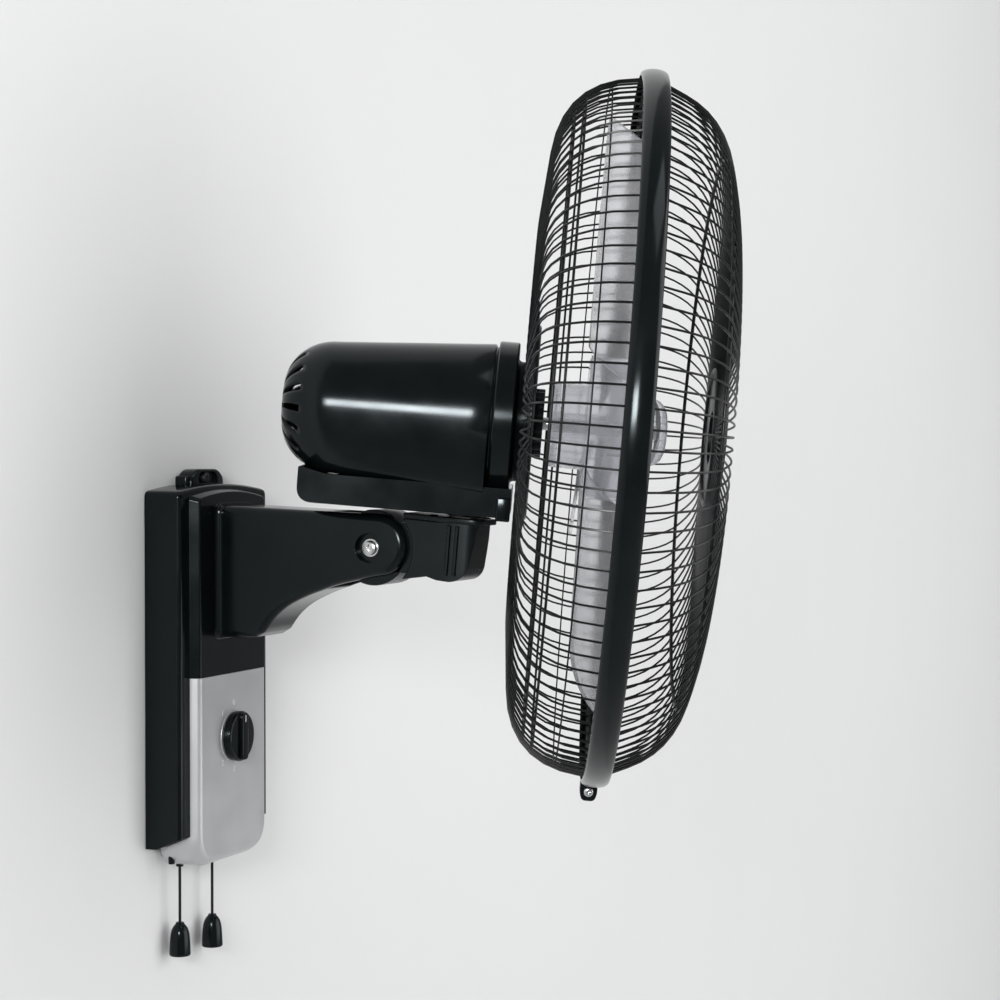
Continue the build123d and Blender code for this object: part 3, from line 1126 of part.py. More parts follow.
def make_terminal_block():
    return block((-44, -24), (SWITCH_BACK - 12, SWITCH_BACK), (-66, -40))


def make_run_capacitor():
    return block((22, 46), (SWITCH_BACK - 15, SWITCH_BACK), (-74, -36))


# ---------------------------------------------------------------- write every node

save("wall_bracket", make_wall_bracket())
save("back_plate", make_back_plate())
save("back_plate_screws", *make_back_plate_screws())
save("rear_housing", make_rear_housing())
save("lock_screw", make_lock_screw())
save("front_cover", make_front_cover())
save("control_panel", make_control_panel())
save("cord_eyelets", *make_eyelets())
save("cable_gland", make_cable_gland())
save("support_arm", make_support_arm())
save("arm_plate", make_arm_plate())
save("arm_screws", *make_arm_screws())
save("tilt_bolt", make_tilt_bolt())
save("tilt_nut", make_tilt_nut())
save("rotary_switch", make_rotary_switch())
save("terminal_block", make_terminal_block())
save("run_capacitor", make_run_capacitor())
save("neck", make_neck())
save("tilt_washers", *make_tilt_washers())
save("neck_plate", make_neck_plate())
save("neck_plate_screws", *make_neck_screws())
save("swing_post", make_swing_post())
save("post_lever", make_post_lever())
save("post_clip", make_post_clip())
save("motor_shell", make_motor_shell())
save("gear_case", make_gear_case())
save("swing_bush", make_swing_bush())
save("thrust_washer", make_thrust_washer())
save("front_flange", make_front_flange())
save("stator", make_stator())
save("stator_coils", *make_stator_coils())
save("stator_clamps", *make_stator_clamps())
save("rear_bearing", make_bearing(REAR_BEARING))
save("front_bearing", make_bearing(FRONT_BEARING))
save("swing_motor", make_swing_motor())
save("swing_crank", make_swing_crank())
save("swing_link", make_swing_link())
save("rear_guard", make_rear_guard())
save("front_guard", make_front_guard())
save("guard_nut", make_guard_nut())
save("clamp_band", make_clamp_band())
save("band_screw", make_band_screw())
save("badge", make_badge())
save("motor_shaft", make_motor_shaft())
save("rotor_core", make_rotor_core())
save("fan_blades", make_fan_blades())
save("spinner", make_spinner())
save("selector_knob", make_knob())
for pull in PULL_POSITIONS:
    save(f"{pull}_switch", make_pull_switch(pull))
    save(f"{pull}_pull_stem", make_pull_stem(pull))
    save(f"{pull}_pull_cord", make_pull_cord(pull))
    save(f"{pull}_pull_bell", make_pull_bell(pull))
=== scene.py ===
import json
from math import asin, atan2, cos, degrees, hypot, pi, radians, sin

import bmesh
import bpy
from mathutils import Matrix, Vector


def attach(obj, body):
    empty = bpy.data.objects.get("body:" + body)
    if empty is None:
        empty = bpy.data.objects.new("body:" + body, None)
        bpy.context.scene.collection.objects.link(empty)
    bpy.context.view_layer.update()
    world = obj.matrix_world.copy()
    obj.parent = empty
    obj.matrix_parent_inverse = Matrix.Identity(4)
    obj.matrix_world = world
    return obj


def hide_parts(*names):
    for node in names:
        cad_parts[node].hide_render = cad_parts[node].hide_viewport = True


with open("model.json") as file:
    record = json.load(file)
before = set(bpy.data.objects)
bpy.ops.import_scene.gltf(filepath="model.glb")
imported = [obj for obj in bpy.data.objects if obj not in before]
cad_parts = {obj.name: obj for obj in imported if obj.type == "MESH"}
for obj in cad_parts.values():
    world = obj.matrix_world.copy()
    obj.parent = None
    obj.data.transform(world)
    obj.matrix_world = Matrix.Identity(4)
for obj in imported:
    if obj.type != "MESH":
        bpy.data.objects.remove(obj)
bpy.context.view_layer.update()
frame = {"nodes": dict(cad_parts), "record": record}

scene = bpy.context.scene
nodes = frame["nodes"]

# Pieces are drawn in millimetres in the frame of the part they belong to, then placed in metres.
MM = Matrix.Scale(0.001, 4)
PIVOT_Y, PIVOT_Z = -144.2, 80.9         # tilt bolt, from the wall and from the base's middle
POST_Y, AXLE_Z = -57.4, 88.4            # swing post ahead of the bolt, and the fan's axis above it
REST_TILT, REST_SWING = 5.13, 21.9      # how the photograph shows the neck and the head


def shift(x, y, z):
    return Matrix.Translation((x, y, z))


def turn(angle, axis):
    return Matrix.Rotation(radians(angle), 4, axis)


WALL = MM
NECK = MM @ shift(0, PIVOT_Y, PIVOT_Z) @ turn(REST_TILT, "X")
HEAD = NECK @ shift(0, POST_Y, AXLE_Z) @ turn(REST_SWING, "Z")
AXLE = HEAD @ turn(90, "X")          # Z runs forward along the fan's axis, Y up


# ---------------------------------------------------------------- camera

CAMERA_SPOT = (-1.2707, -0.7648, 0.1405)
bearing, dip = radians(22.96), radians(1.19)
ahead = Vector((cos(bearing) * cos(dip), sin(bearing) * cos(dip), -sin(dip)))
right = Vector((sin(bearing), -cos(bearing), 0))
up = right.cross(ahead)
lens = bpy.data.cameras.new("camera")
lens.sensor_width = 36
lens.lens = 78.46
lens.clip_start, lens.clip_end = 0.05, 30
camera = bpy.data.objects.new("camera", lens)
camera.matrix_world = Matrix.Translation(CAMERA_SPOT) @ Matrix((right, up, -ahead)).transposed().to_4x4()
scene.collection.objects.link(camera)
scene.camera = camera
scene.view_settings.view_transform = "Standard"


# ---------------------------------------------------------------- finishes

def texture(tree, kind, scale, **settings):
    """A texture on Object coordinates, so it keeps its size on every piece."""
    spot = tree.nodes.new("ShaderNodeTexCoord")
    made = tree.nodes.new(kind)
    tree.links.new(spot.outputs["Object"], made.inputs["Vector"])
    made.inputs["Scale"].default_value = scale
    for key, value in settings.items():
        if key in made.inputs:
            made.inputs[key].default_value = value
        else:
            setattr(made, key, value)
    return made


NOISE_LOW, NOISE_HIGH = 0.3, 0.7        # nearly all of a noise texture lies between these


def stretched(tree, source, low, high):
    """Turns the noise's own range into the wanted one."""
    scaled = tree.nodes.new("ShaderNodeMapRange")
    tree.links.new(source, scaled.inputs["Value"])
    ends = {"From Min": NOISE_LOW, "From Max": NOISE_HIGH, "To Min": low, "To Max": high}
    for socket, value in ends.items():
        scaled.inputs[socket].default_value = value
    return scaled.outputs["Result"]


def shades(tree, source, dark, light):
    """Slow drift between two near shades of a colour."""
    ramp = tree.nodes.new("ShaderNodeValToRGB")
    for stop, colour, position in zip(ramp.color_ramp.elements, (dark, light), (NOISE_LOW, NOISE_HIGH)):
        stop.color = (*colour, 1)
        stop.position = position
    tree.links.new(source, ramp.inputs["Fac"])
    return ramp.outputs["Color"]


def relief(tree, heights, strength, depth):
    bump = tree.nodes.new("ShaderNodeBump")
    bump.inputs["Strength"].default_value = strength
    bump.inputs["Distance"].default_value = depth
    tree.links.new(heights, bump.inputs["Height"])
    return bump.outputs["Normal"]


CLOUD_SCALE = 38            # drifts of shade about a finger wide
GRAIN_DEPTH = 0.00003


def finish(name, dark, light, rough, grain=2200, strength=0.25, **sockets):
    """A moulded, painted or plated surface: drifting shade, uneven gloss and a fine grain."""
    made = bpy.data.materials.new(name)
    made.use_nodes = True
    tree = made.node_tree
    shader = tree.nodes["Principled BSDF"]
    clouds = texture(tree, "ShaderNodeTexNoise", CLOUD_SCALE, Detail=3)
    fine = texture(tree, "ShaderNodeTexNoise", grain, Detail=2)
    tree.links.new(shades(tree, clouds.outputs["Fac"], dark, light), shader.inputs["Base Color"])
    tree.links.new(stretched(tree, clouds.outputs["Fac"], *rough), shader.inputs["Roughness"])
    tree.links.new(relief(tree, fine.outputs["Fac"], strength, GRAIN_DEPTH), shader.inputs["Normal"])
    for socket, value in sockets.items():
        shader.inputs[socket.replace("_", " ")].default_value = value
    return made


def striped(made, scale, direction, depth):
    """Adds fine parallel ridges to a finish, such as stacked sheets or wound wire."""
    tree = made.node_tree
    shader = tree.nodes["Principled BSDF"]
    bands = texture(tree, "ShaderNodeTexWave", scale, bands_direction=direction)
    tree.links.new(relief(tree, bands.outputs["Fac"], 0.8, depth), shader.inputs["Normal"])


COOL = (0.86, 0.96, 1.0, 1)             # the black mouldings' highlights are slightly blue
gloss_black = finish("gloss_black", (0.0022, 0.0034, 0.0038), (0.0036, 0.0052, 0.0057), (0.13, 0.19),
                     grain=700, strength=0.05, Specular_IOR_Level=0.23, Specular_Tint=COOL)
satin_black = finish("satin_black", (0.0028, 0.0038, 0.0042), (0.0046, 0.0060, 0.0064), (0.25, 0.34),
                     grain=1500, strength=0.12, Specular_IOR_Level=0.23, Specular_Tint=COOL)
wire_black = finish("wire_black", (0.0026, 0.0031, 0.0032), (0.0048, 0.0056, 0.0057), (0.26, 0.40),
                    grain=900, strength=0.2, Specular_IOR_Level=0.25)
silver_paint = finish("silver_paint", (0.50, 0.507, 0.515), (0.54, 0.547, 0.555), (0.38, 0.46),
                      grain=5200, strength=0.12, Metallic=0.5, Coat_Weight=0.15, Coat_Roughness=0.2)
print_white = finish("print_white", (0.66, 0.67, 0.68), (0.74, 0.75, 0.76), (0.35, 0.45))
smoke_clear = finish("smoke_clear", (0.90, 0.905, 0.94), (0.93, 0.935, 0.965), (0.07, 0.12),
                     grain=500, strength=0.03, Transmission_Weight=0.82, IOR=1.16)
bright_steel = finish("bright_steel", (0.56, 0.57, 0.57), (0.66, 0.67, 0.67), (0.20, 0.32), Metallic=1.0)
dark_steel = finish("dark_steel", (0.030, 0.031, 0.033), (0.045, 0.046, 0.048), (0.35, 0.48), Metallic=0.8)
zinc_plate = finish("zinc_plate", (0.46, 0.47, 0.46), (0.56, 0.57, 0.56), (0.34, 0.48), Metallic=0.95)
bronze_sinter = finish("bronze_sinter", (0.40, 0.26, 0.12), (0.50, 0.34, 0.17), (0.40, 0.55), Metallic=0.9)
core_steel = finish("core_steel", (0.20, 0.20, 0.21), (0.28, 0.28, 0.29), (0.42, 0.55), Metallic=0.85)
striped(core_steel, 900, "Y", 0.0002)
copper_wire = finish("copper_wire", (0.42, 0.15, 0.06), (0.52, 0.20, 0.08), (0.25, 0.38), Metallic=0.9)
striped(copper_wire, 700, "DIAGONAL", 0.0003)
pale_plastic = finish("pale_plastic", (0.50, 0.49, 0.45), (0.58, 0.57, 0.53), (0.40, 0.52), grain=1600)
braid_black = finish("braid_black", (0.007, 0.007, 0.007), (0.014, 0.014, 0.014), (0.55, 0.70))
striped(braid_black, 1300, "Z", 0.0004)

FINISH_OF_SLOT = {
    "black_plastic": satin_black, "black_paint": wire_black, "silver_plastic": silver_paint,
    "clear_plastic": smoke_clear, "screw_steel": bright_steel, "zinc_steel": zinc_plate,
    "bronze": bronze_sinter, "lamination": core_steel, "copper_winding": copper_wire,
    "inner_plastic": pale_plastic, "cord": braid_black,
}
for part in frame["record"]["subparts"]:
    shown = nodes[part["node"]]
    shown.data.materials.clear()
    shown.data.materials.append(FINISH_OF_SLOT[part["material_slot"]])


# ---------------------------------------------------------------- outlines

def eased(points, trim, steps):
    """Closed outline with its corners rounded off, each starting its trim before the corner."""
    trims = trim if isinstance(trim, (list, tuple)) else [trim] * len(points)
    made = []
    for index, corner in enumerate(points):
        here = Vector(corner)
        before = Vector(points[index - 1]) - here
        after = Vector(points[(index + 1) % len(points)]) - here
        reach = min(trims[index], before.length * 0.49, after.length * 0.49)
        if reach <= 0:
            made.append(tuple(here))
            continue
        first = here + before.normalized() * reach
        last = here + after.normalized() * reach
        for step in range(steps + 1):
            t = step / steps
            made.append(tuple(first * (1 - t) ** 2 + here * 2 * t * (1 - t) + last * t ** 2))
    return made


def arc(cx, cy, radius, start, end, steps):
    return [(cx + radius * cos(radians(start + (end - start) * i / steps)),
             cy + radius * sin(radians(start + (end - start) * i / steps))) for i in range(steps + 1)]


def circle(cx, cy, radius, steps):
    return arc(cx, cy, radius, 0, 360, steps)[:-1]


def flowing(points, steps):
    """Smooth open line through the given points."""
    line = [Vector(p) for p in points]
    line = [line[0] * 2 - line[1], *line, line[-1] * 2 - line[-2]]
    made = []
    for a, b, c, d in zip(line, line[1:], line[2:], line[3:]):
        for step in range(steps):
            t = step / steps
            made.append(tuple(0.5 * (2 * b + (c - a) * t + (2 * a - 5 * b + 4 * c - d) * t ** 2
                                     + (3 * b - a - 3 * c + d) * t ** 3)))
    return made + [tuple(points[-1])]


# ---------------------------------------------------------------- shaping

def tidy(bm):
    bmesh.ops.remove_doubles(bm, verts=bm.verts, dist=0.0005)
    bmesh.ops.recalc_face_normals(bm, faces=bm.faces)
    return bm


def extruded(outline, axis, low, high):
    """Outline drawn across an axis and pushed along it from low to high."""
    bm = bmesh.new()
    spot = {"X": lambda a, b: (low, a, b), "Y": lambda a, b: (a, low, b), "Z": lambda a, b: (a, b, low)}[axis]
    face = bm.faces.new([bm.verts.new(spot(*p)) for p in outline])
    pushed = bmesh.ops.extrude_face_region(bm, geom=[face])["geom"]
    along = Vector([high - low if a == axis else 0 for a in "XYZ"])
    bmesh.ops.translate(bm, verts=[v for v in pushed if isinstance(v, bmesh.types.BMVert)], vec=along)
    return tidy(bm)


def box(x, y, z):
    return extruded([(x[0], y[0]), (x[1], y[0]), (x[1], y[1]), (x[0], y[1])], "Z", *z)


def lathed(profile, steps, closed=False):
    """Line of (radius, station) points turned about Z. A closed one makes a ring."""
    bm = bmesh.new()
    verts = [bm.verts.new((radius, 0, station)) for radius, station in profile]
    pairs = list(zip(verts, verts[1:])) + ([(verts[-1], verts[0])] if closed else [])
    edges = [bm.edges.new(pair) for pair in pairs]
    bmesh.ops.spin(bm, geom=verts + edges, cent=(0, 0, 0), axis=(0, 0, 1), angle=2 * pi, steps=steps,
                   use_merge=True)
    return tidy(bm)


def sharp_edges(bm, angle):
    return [e for e in bm.edges if len(e.link_faces) == 2 and e.calc_face_angle(0) > radians(angle)]


def rounded_off(bm, edges, radius, segments):
    bmesh.ops.bevel(bm, geom=edges, offset=radius, offset_type="OFFSET", segments=segments, profile=0.5,
                    affect="EDGES", material=-1, clamp_overlap=True)
    return bm


def softened(bm, radius, segments=3, angle=30, only=None):
    """Rounds the edges sharper than the angle whose middle passes the test."""
    chosen = [e for e in sharp_edges(bm, angle) if only is None or only((e.verts[0].co + e.verts[1].co) / 2)]
    return rounded_off(bm, chosen, radius, segments)


def carved(bm, *cutters, operation="DIFFERENCE"):
    """The shape with closed cutters taken out of it, or only what lies inside them with INTERSECT."""
    parts = []
    for index, part in enumerate((bm, *cutters)):
        mesh = bpy.data.meshes.new(f"carving_{index}")
        part.to_mesh(mesh)
        part.free()
        parts.append(bpy.data.objects.new(mesh.name, mesh))
        scene.collection.objects.link(parts[-1])
    for cutter in parts[1:]:
        cut = parts[0].modifiers.new("cut", "BOOLEAN")
        cut.operation, cut.solver, cut.object = operation, "EXACT", cutter
    done = bpy.data.meshes.new_from_object(parts[0].evaluated_get(bpy.context.evaluated_depsgraph_get()))
    made = bmesh.new()
    made.from_mesh(done)
    for part in parts:
        mesh = part.data
        bpy.data.objects.remove(part)
        bpy.data.meshes.remove(mesh)
    bpy.data.meshes.remove(done)
    return tidy(made)


def joined(*parts):
    """Several shapes carried as one piece."""
    made = bmesh.new()
    for part in parts:
        mesh = bpy.data.meshes.new("joining")
        part.to_mesh(mesh)
        part.free()
        made.from_mesh(mesh)
        bpy.data.meshes.remove(mesh)
    return made


def placed(bm, matrix):
    bmesh.ops.transform(bm, matrix=matrix, verts=bm.verts)
    return bm


def patterned(bm, count):
    """Copies of a shape all the way round Z."""
    bmesh.ops.spin(bm, geom=bm.verts[:] + bm.edges[:] + bm.faces[:], cent=(0, 0, 0), axis=(0, 0, 1),
                   angle=2 * pi * (count - 1) / count, steps=count - 1, use_duplicate=True)
    return bm


WIRES = 120                 # radial wires of each guard


def swept(path, radius, sides):
    """Round wire along (radius, station) points in the XZ plane."""
    bm = bmesh.new()
    ring = bmesh.ops.create_circle(bm, cap_ends=False, radius=radius, segments=sides)["verts"]
    edges = bm.edges[:]
    stops = []
    for index, (across, along) in enumerate(path):
        back = path[max(index - 1, 0)]
        on = path[min(index + 1, len(path) - 1)]
        heading = atan2(on[0] - back[0], on[1] - back[1])
        stops.append(shift(across, 0, along) @ Matrix.Rotation(heading, 4, "Y"))
    bmesh.ops.transform(bm, matrix=stops[0], verts=ring)
    for last, stop in zip(stops, stops[1:]):
        grown = bmesh.ops.extrude_edge_only(bm, edges=edges)["geom"]
        edges = [e for e in grown if isinstance(e, bmesh.types.BMEdge)]
        bmesh.ops.transform(bm, matrix=stop @ last.inverted(),
                            verts=[v for v in grown if isinstance(v, bmesh.types.BMVert)])
    bmesh.ops.holes_fill(bm, edges=[e for e in bm.edges if e.is_boundary])
    return tidy(bm)


def hoop(radius, station, thick):
    """Round wire bent into a hoop about Z."""
    bm = bmesh.new()
    bmesh.ops.create_circle(bm, cap_ends=False, radius=thick, segments=8,
                            matrix=shift(radius, 0, station) @ turn(90, "X"))
    bmesh.ops.spin(bm, geom=bm.verts[:] + bm.edges[:], cent=(0, 0, 0), axis=(0, 0, 1), angle=2 * pi,
                   steps=WIRES, use_merge=True)
    return tidy(bm)


def add(name, bm, made_of, body, slot, *stands_for, place=WALL, angle=34, flat=False):
    """Finishes a piece: puts it in its place, gives it its surface and lets it ride on its body.

    A flat piece keeps its broad faces flat where they meet rounded edges.
    """
    placed(bm, place)
    mesh = bpy.data.meshes.new(name)
    bm.to_mesh(mesh)
    bm.free()
    mesh.shade_smooth()
    mesh.set_sharp_from_angle(angle=radians(angle))
    mesh.materials.append(made_of)
    piece = bpy.data.objects.new(name, mesh)
    scene.collection.objects.link(piece)
    if flat:
        evened = piece.modifiers.new("evened", "WEIGHTED_NORMAL")
        evened.mode, evened.weight, evened.keep_sharp = "FACE_AREA", 100, True
    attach(piece, body)
    if stands_for:
        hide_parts(*stands_for)
    return piece


# ---------------------------------------------------------------- pull cords

CORD_TOP = -131.7           # lower lip of the eyelets
CORD_Y = -9.3
CORD_THICK = 1.9
SWING_X, POWER_X = -30.5, 11.2
for pull, x, hang in (("swing", SWING_X, 37.0), ("power", POWER_X, 39.5)):
    end = CORD_TOP - hang
    line = bpy.data.curves.new(f"{pull}_cord", "CURVE")
    line.dimensions = "3D"
    line.bevel_depth = CORD_THICK / 2000
    line.bevel_resolution = 4
    line.use_fill_caps = True
    run = line.splines.new("NURBS")
    route = [(x, CORD_Y, z) for z in (CORD_TOP, CORD_TOP - 13, CORD_TOP - 26, end)]
    run.points.add(len(route) - 1)
    for point, spot in zip(run.points, route):
        point.co = (*(value / 1000 for value in spot), 1)
    run.order_u = 3
    run.use_endpoint_u = True
    line.materials.append(braid_black)
    cord = bpy.data.objects.new(f"{pull}_cord", line)
    scene.collection.objects.link(cord)
    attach(cord, f"{pull}_pull")
    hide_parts(f"{pull}_pull_cord")
    bell = [(1.1, end), (2.3, end), (2.8, end - 0.5), (2.9, end - 1.2), (3.7, end - 2.0), (4.7, end - 3.3),
            (5.5, end - 5.0), (6.1, end - 7.2), (6.5, end - 10), (6.8, end - 14), (7.1, end - 20.6),
            (7.1, end - 21.5), (6.7, end - 22), (6.1, end - 22), (5.2, end - 19.8), (1.1, end - 19.4)]
    grip = add(f"{pull}_bell", placed(lathed(bell, 40, closed=True), shift(x, CORD_Y, 0)), gloss_black,
               f"{pull}_pull", "black_plastic", f"{pull}_pull_bell", angle=40)


# ---------------------------------------------------------------- base

HOUSING_HALF, HOUSING_END = 57.5, 116.5
HOUSING_FRONT = -26.5
COVER_FRONT = -33                       # the raised covers' faces
COVER_HALF, COVER_FACE_HALF = 46, 43    # the covers draw in from their foot to their face
CROWN = 4.5                             # rise of the curved top


def base_front(half, low, high, corner):
    """Front view of the base with its curved top and rounded corners."""
    top = [(half - 2 * half * i / 12, high + CROWN * (1 - (1 - i / 6) ** 2)) for i in range(13)]
    rounding = [corner if i in (0, 12) else 0 for i in range(13)]
    return eased([(-half, low), (half, low), *top], [0, 0, *rounding], 4)


housing = extruded(base_front(HOUSING_HALF, -HOUSING_END, HOUSING_END, 4), "Y", 0, HOUSING_FRONT)
softened(housing, 3.2, 5, 40, lambda co: co.y < HOUSING_FRONT + 0.5)
hollow = extruded(base_front(HOUSING_HALF - 2.5, 2.5 - HOUSING_END, HOUSING_END - 2.5, 2), "Y", 3, -24)
# the housing ends on a slanting line, where the chin laps up its sides
lap = extruded([(5, -116.5), (-8, -116.5), (-26.5, -108.5), (-60, -94), (-60, -160), (5, -160)], "X", -70, 70)
housing = carved(housing, hollow, lap)
add("housing", housing, gloss_black, "base", "black_plastic", "rear_housing", flat=True)

LOCK_Z = 125.1
LUG_FLOOR = -10.6           # bottom of the recess that the lock screw sits in
lug_outline = eased([(-21, 118), (21, 118), (21, 125.5), (14, 131), (-14, 131), (-21, 125.5)],
                    [0, 0, 4, 6, 6, 4], 5)
lug = softened(extruded(lug_outline, "Y", -1.8, -13.6), 1.6, 4, 40, lambda co: co.z > 119)
recess_outline = eased([(-13, 121.5), (13, 121.5), (13, 126), (9, 129.4), (-9, 129.4), (-13, 126)],
                       [1, 1, 3, 3, 3, 3], 4)
recess = softened(extruded(recess_outline, "Y", LUG_FLOOR, -18), 0.6, 2, 60, lambda co: co.y > -11)
step = softened(box((-24.5, -19), (-11.7, -2.4), (118, 126.5)), 1.5, 4)
lug = carved(lug, recess, extruded(circle(0, LOCK_Z, 2.2, 20), "Y", 2, -20))
add("hanging_lug", joined(lug, step), gloss_black, "base", "black_plastic", "rear_housing")

cover = extruded(base_front(COVER_HALF, -5, 113.5, 3), "Y", HOUSING_FRONT, COVER_FRONT)
for vert in cover.verts:
    if vert.co.y < COVER_FRONT + 1:
        vert.co.x *= COVER_FACE_HALF / COVER_HALF
        if vert.co.z > 0:
            vert.co.z -= 1.6
softened(cover, 1.5, 4, 30, lambda co: co.y < -30 and co.z > -4)
add("upper_cover", cover, gloss_black, "base", "black_plastic", "front_cover", flat=True)

PANEL_LOW, PANEL_HIGH = -130.5, -5.3
CHIN_RISE = 4.5             # the panel's face ends this far above the chin's underside
panel_outline = eased([(-COVER_HALF, PANEL_LOW), (COVER_HALF, PANEL_LOW), (COVER_HALF, PANEL_HIGH),
                       (-COVER_HALF, PANEL_HIGH)], [20, 20, 0, 0], 10)
panel = extruded(panel_outline, "Y", -2, HOUSING_FRONT)
front = [f for f in panel.faces if all(v.co.y < HOUSING_FRONT + 0.5 for v in f.verts)]
pushed = bmesh.ops.extrude_face_region(panel, geom=front)["geom"]
bmesh.ops.delete(panel, geom=[f for f in front if f.is_valid], context="FACES_ONLY")
for vert in (v for v in pushed if isinstance(v, bmesh.types.BMVert)):
    vert.co.y = COVER_FRONT
    vert.co.x *= COVER_FACE_HALF / COVER_HALF
    if vert.co.z < PANEL_LOW + 20.5:
        vert.co.z += CHIN_RISE
tidy(panel)
softened(panel, 2.4, 5, 22, lambda co: co.y < HOUSING_FRONT + 0.5 and co.z < PANEL_HIGH - 0.7)
softened(panel, 3.0, 5, 50, lambda co: co.y > -3)
behind = [(5, 20), (HOUSING_FRONT, 20), (HOUSING_FRONT, -108.8), (-8, -116.8), (5, -116.8)]
panel = carved(panel, extruded(behind, "X", -70, 70))
add("silver_panel", panel, silver_paint, "base", "silver_plastic", "control_panel", angle=28, flat=True)

# plain digits round the knob, written in metres
KNOB_Z = -47.5
DIGIT_RING, DIGIT_FACE = 0.0222, -0.03303
for digit, at in (("0", 90), ("1", 132), ("2", 228), ("3", 270)):
    text = bpy.data.curves.new(f"digit_{digit}", "FONT")
    text.body, text.size, text.extrude = digit, 0.0056, 0.00012
    text.align_x, text.align_y = "CENTER", "CENTER"
    written = bpy.data.objects.new("writing", text)
    scene.collection.objects.link(written)
    bpy.context.view_layer.update()
    strokes = bpy.data.meshes.new_from_object(written.evaluated_get(bpy.context.evaluated_depsgraph_get()))
    bpy.data.objects.remove(written)
    shape = bmesh.new()
    shape.from_mesh(strokes)
    bpy.data.meshes.remove(strokes)
    bpy.data.curves.remove(text)
    across, rise = DIGIT_RING * cos(radians(at)), DIGIT_RING * sin(radians(at))
    add(f"digit_{digit}", shape, print_white, "base", "silver_plastic",
        place=shift(across, DIGIT_FACE, KNOB_Z / 1000 + rise) @ turn(90, "X"))

gland = lathed([(0, -128.4), (1.9, -128.4), (2.1, -128), (2.1, -118), (0, -118)], 24)
add("blank_gland", placed(gland, shift(-40.8, CORD_Y, 0)), satin_black,
    "base", "black_plastic", "cable_gland")
for index, x in enumerate((SWING_X, POWER_X)):
    ring = [(1.3, -128), (1.3, -131.5), (1.5, CORD_TOP), (2.2, CORD_TOP), (2.5, -131.4), (2.5, -130.4),
            (2.2, -130.2), (2.2, -128)]
    add(f"eyelet_{index + 1}", placed(lathed(ring, 32, closed=True), shift(x, CORD_Y, 0)), satin_black,
        "base", "black_plastic", "cord_eyelets")


def screw_head(radius, height, cross=0.55):
    """Pan head with a cross recess, seated at z = 0."""
    head = lathed([(0, 0), (radius, 0), (radius, height * 0.45), (radius * 0.93, height * 0.75),
                   (radius * 0.75, height * 0.93), (radius * 0.45, height), (0, height)], 32)
    arm = (-radius * cross, radius * cross)
    width = (-radius * 0.13, radius * 0.13)
    depth = (height * 0.4, height + 1)
    slots = [softened(box(x, y, depth), radius * 0.1, 2) for x, y in ((arm, width), (width, arm))]
    return carved(head, *slots)


def stem(length, radius, tip, joint):
    """Screw's shank under its head, with a bevelled end."""
    return lathed([(0, -length), (radius - tip, -length), (radius, 0.4 - length), (radius, joint),
                   (0, joint)], 20)


toward_room = turn(90, "X")
lock = joined(screw_head(3.8, 2.6), stem(9, 2, 0.3, 0.3))
add("lock_screw_head", placed(lock, shift(0, LUG_FLOOR, LOCK_Z) @ toward_room), dark_steel,
    "base", "screw_steel", "lock_screw")


# ---------------------------------------------------------------- arm

underside = [(-155.8, 63.7), (-143, 61.6), (-131, 58.9), (-120, 56.4), (-110, 53.0), (-99, 49.0), (-88, 44.0),
             (-80, 39.0), (-73, 32.6), (-67, 24.4)]
tip_arc = arc(-149.8, 82.7, 19.9, 91.8, 252.5, 16)
arm_side = [(COVER_FRONT, 107.3), *tip_arc, *flowing(underside, 2)[1:], (-61, 20.9), (-52, 20.2),
            (COVER_FRONT, 20)]
ARM_HALF = 22
FORK_HALF, FORK_ROOT = 15, -112         # the slot that the neck turns in
RECESS = 9.4                            # radius of the dished seats of the bolt's ends
RECESS_FLOOR = 18


def about_pivot(radius, low, high, steps=48):
    return extruded(circle(PIVOT_Y, PIVOT_Z, radius, steps), "X", low, high)


def from_pivot(vert):
    return hypot(vert.co.y - PIVOT_Y, vert.co.z - PIVOT_Z)


def rounded(bm, wanted, radius, segments):
    """Rounds the sharp edges whose two ends both pass the test."""
    chosen = [e for e in sharp_edges(bm, 50) if all(wanted(v) for v in e.verts)]
    return rounded_off(bm, chosen, radius, segments)


arm = carved(extruded(arm_side, "X", -ARM_HALF, ARM_HALF),
             box((-FORK_HALF, FORK_HALF), (-180, FORK_ROOT), (40, 130)), about_pivot(3, -30, 30, 32),
             about_pivot(RECESS, -RECESS_FLOOR, -24), about_pivot(RECESS, RECESS_FLOOR, 24))
rounded(arm, lambda v: abs(v.co.x) > ARM_HALF - 0.1 and from_pivot(v) < RECESS + 0.1, 1.3, 4)
rounded(arm, lambda v: abs(v.co.x) > ARM_HALF - 0.1 and from_pivot(v) > RECESS + 2, 5.5, 7)
rounded(arm, lambda v: abs(abs(v.co.x) - FORK_HALF) < 0.1 and v.co.y < FORK_ROOT + 0.1 and from_pivot(v) > 5,
        1.0, 3)


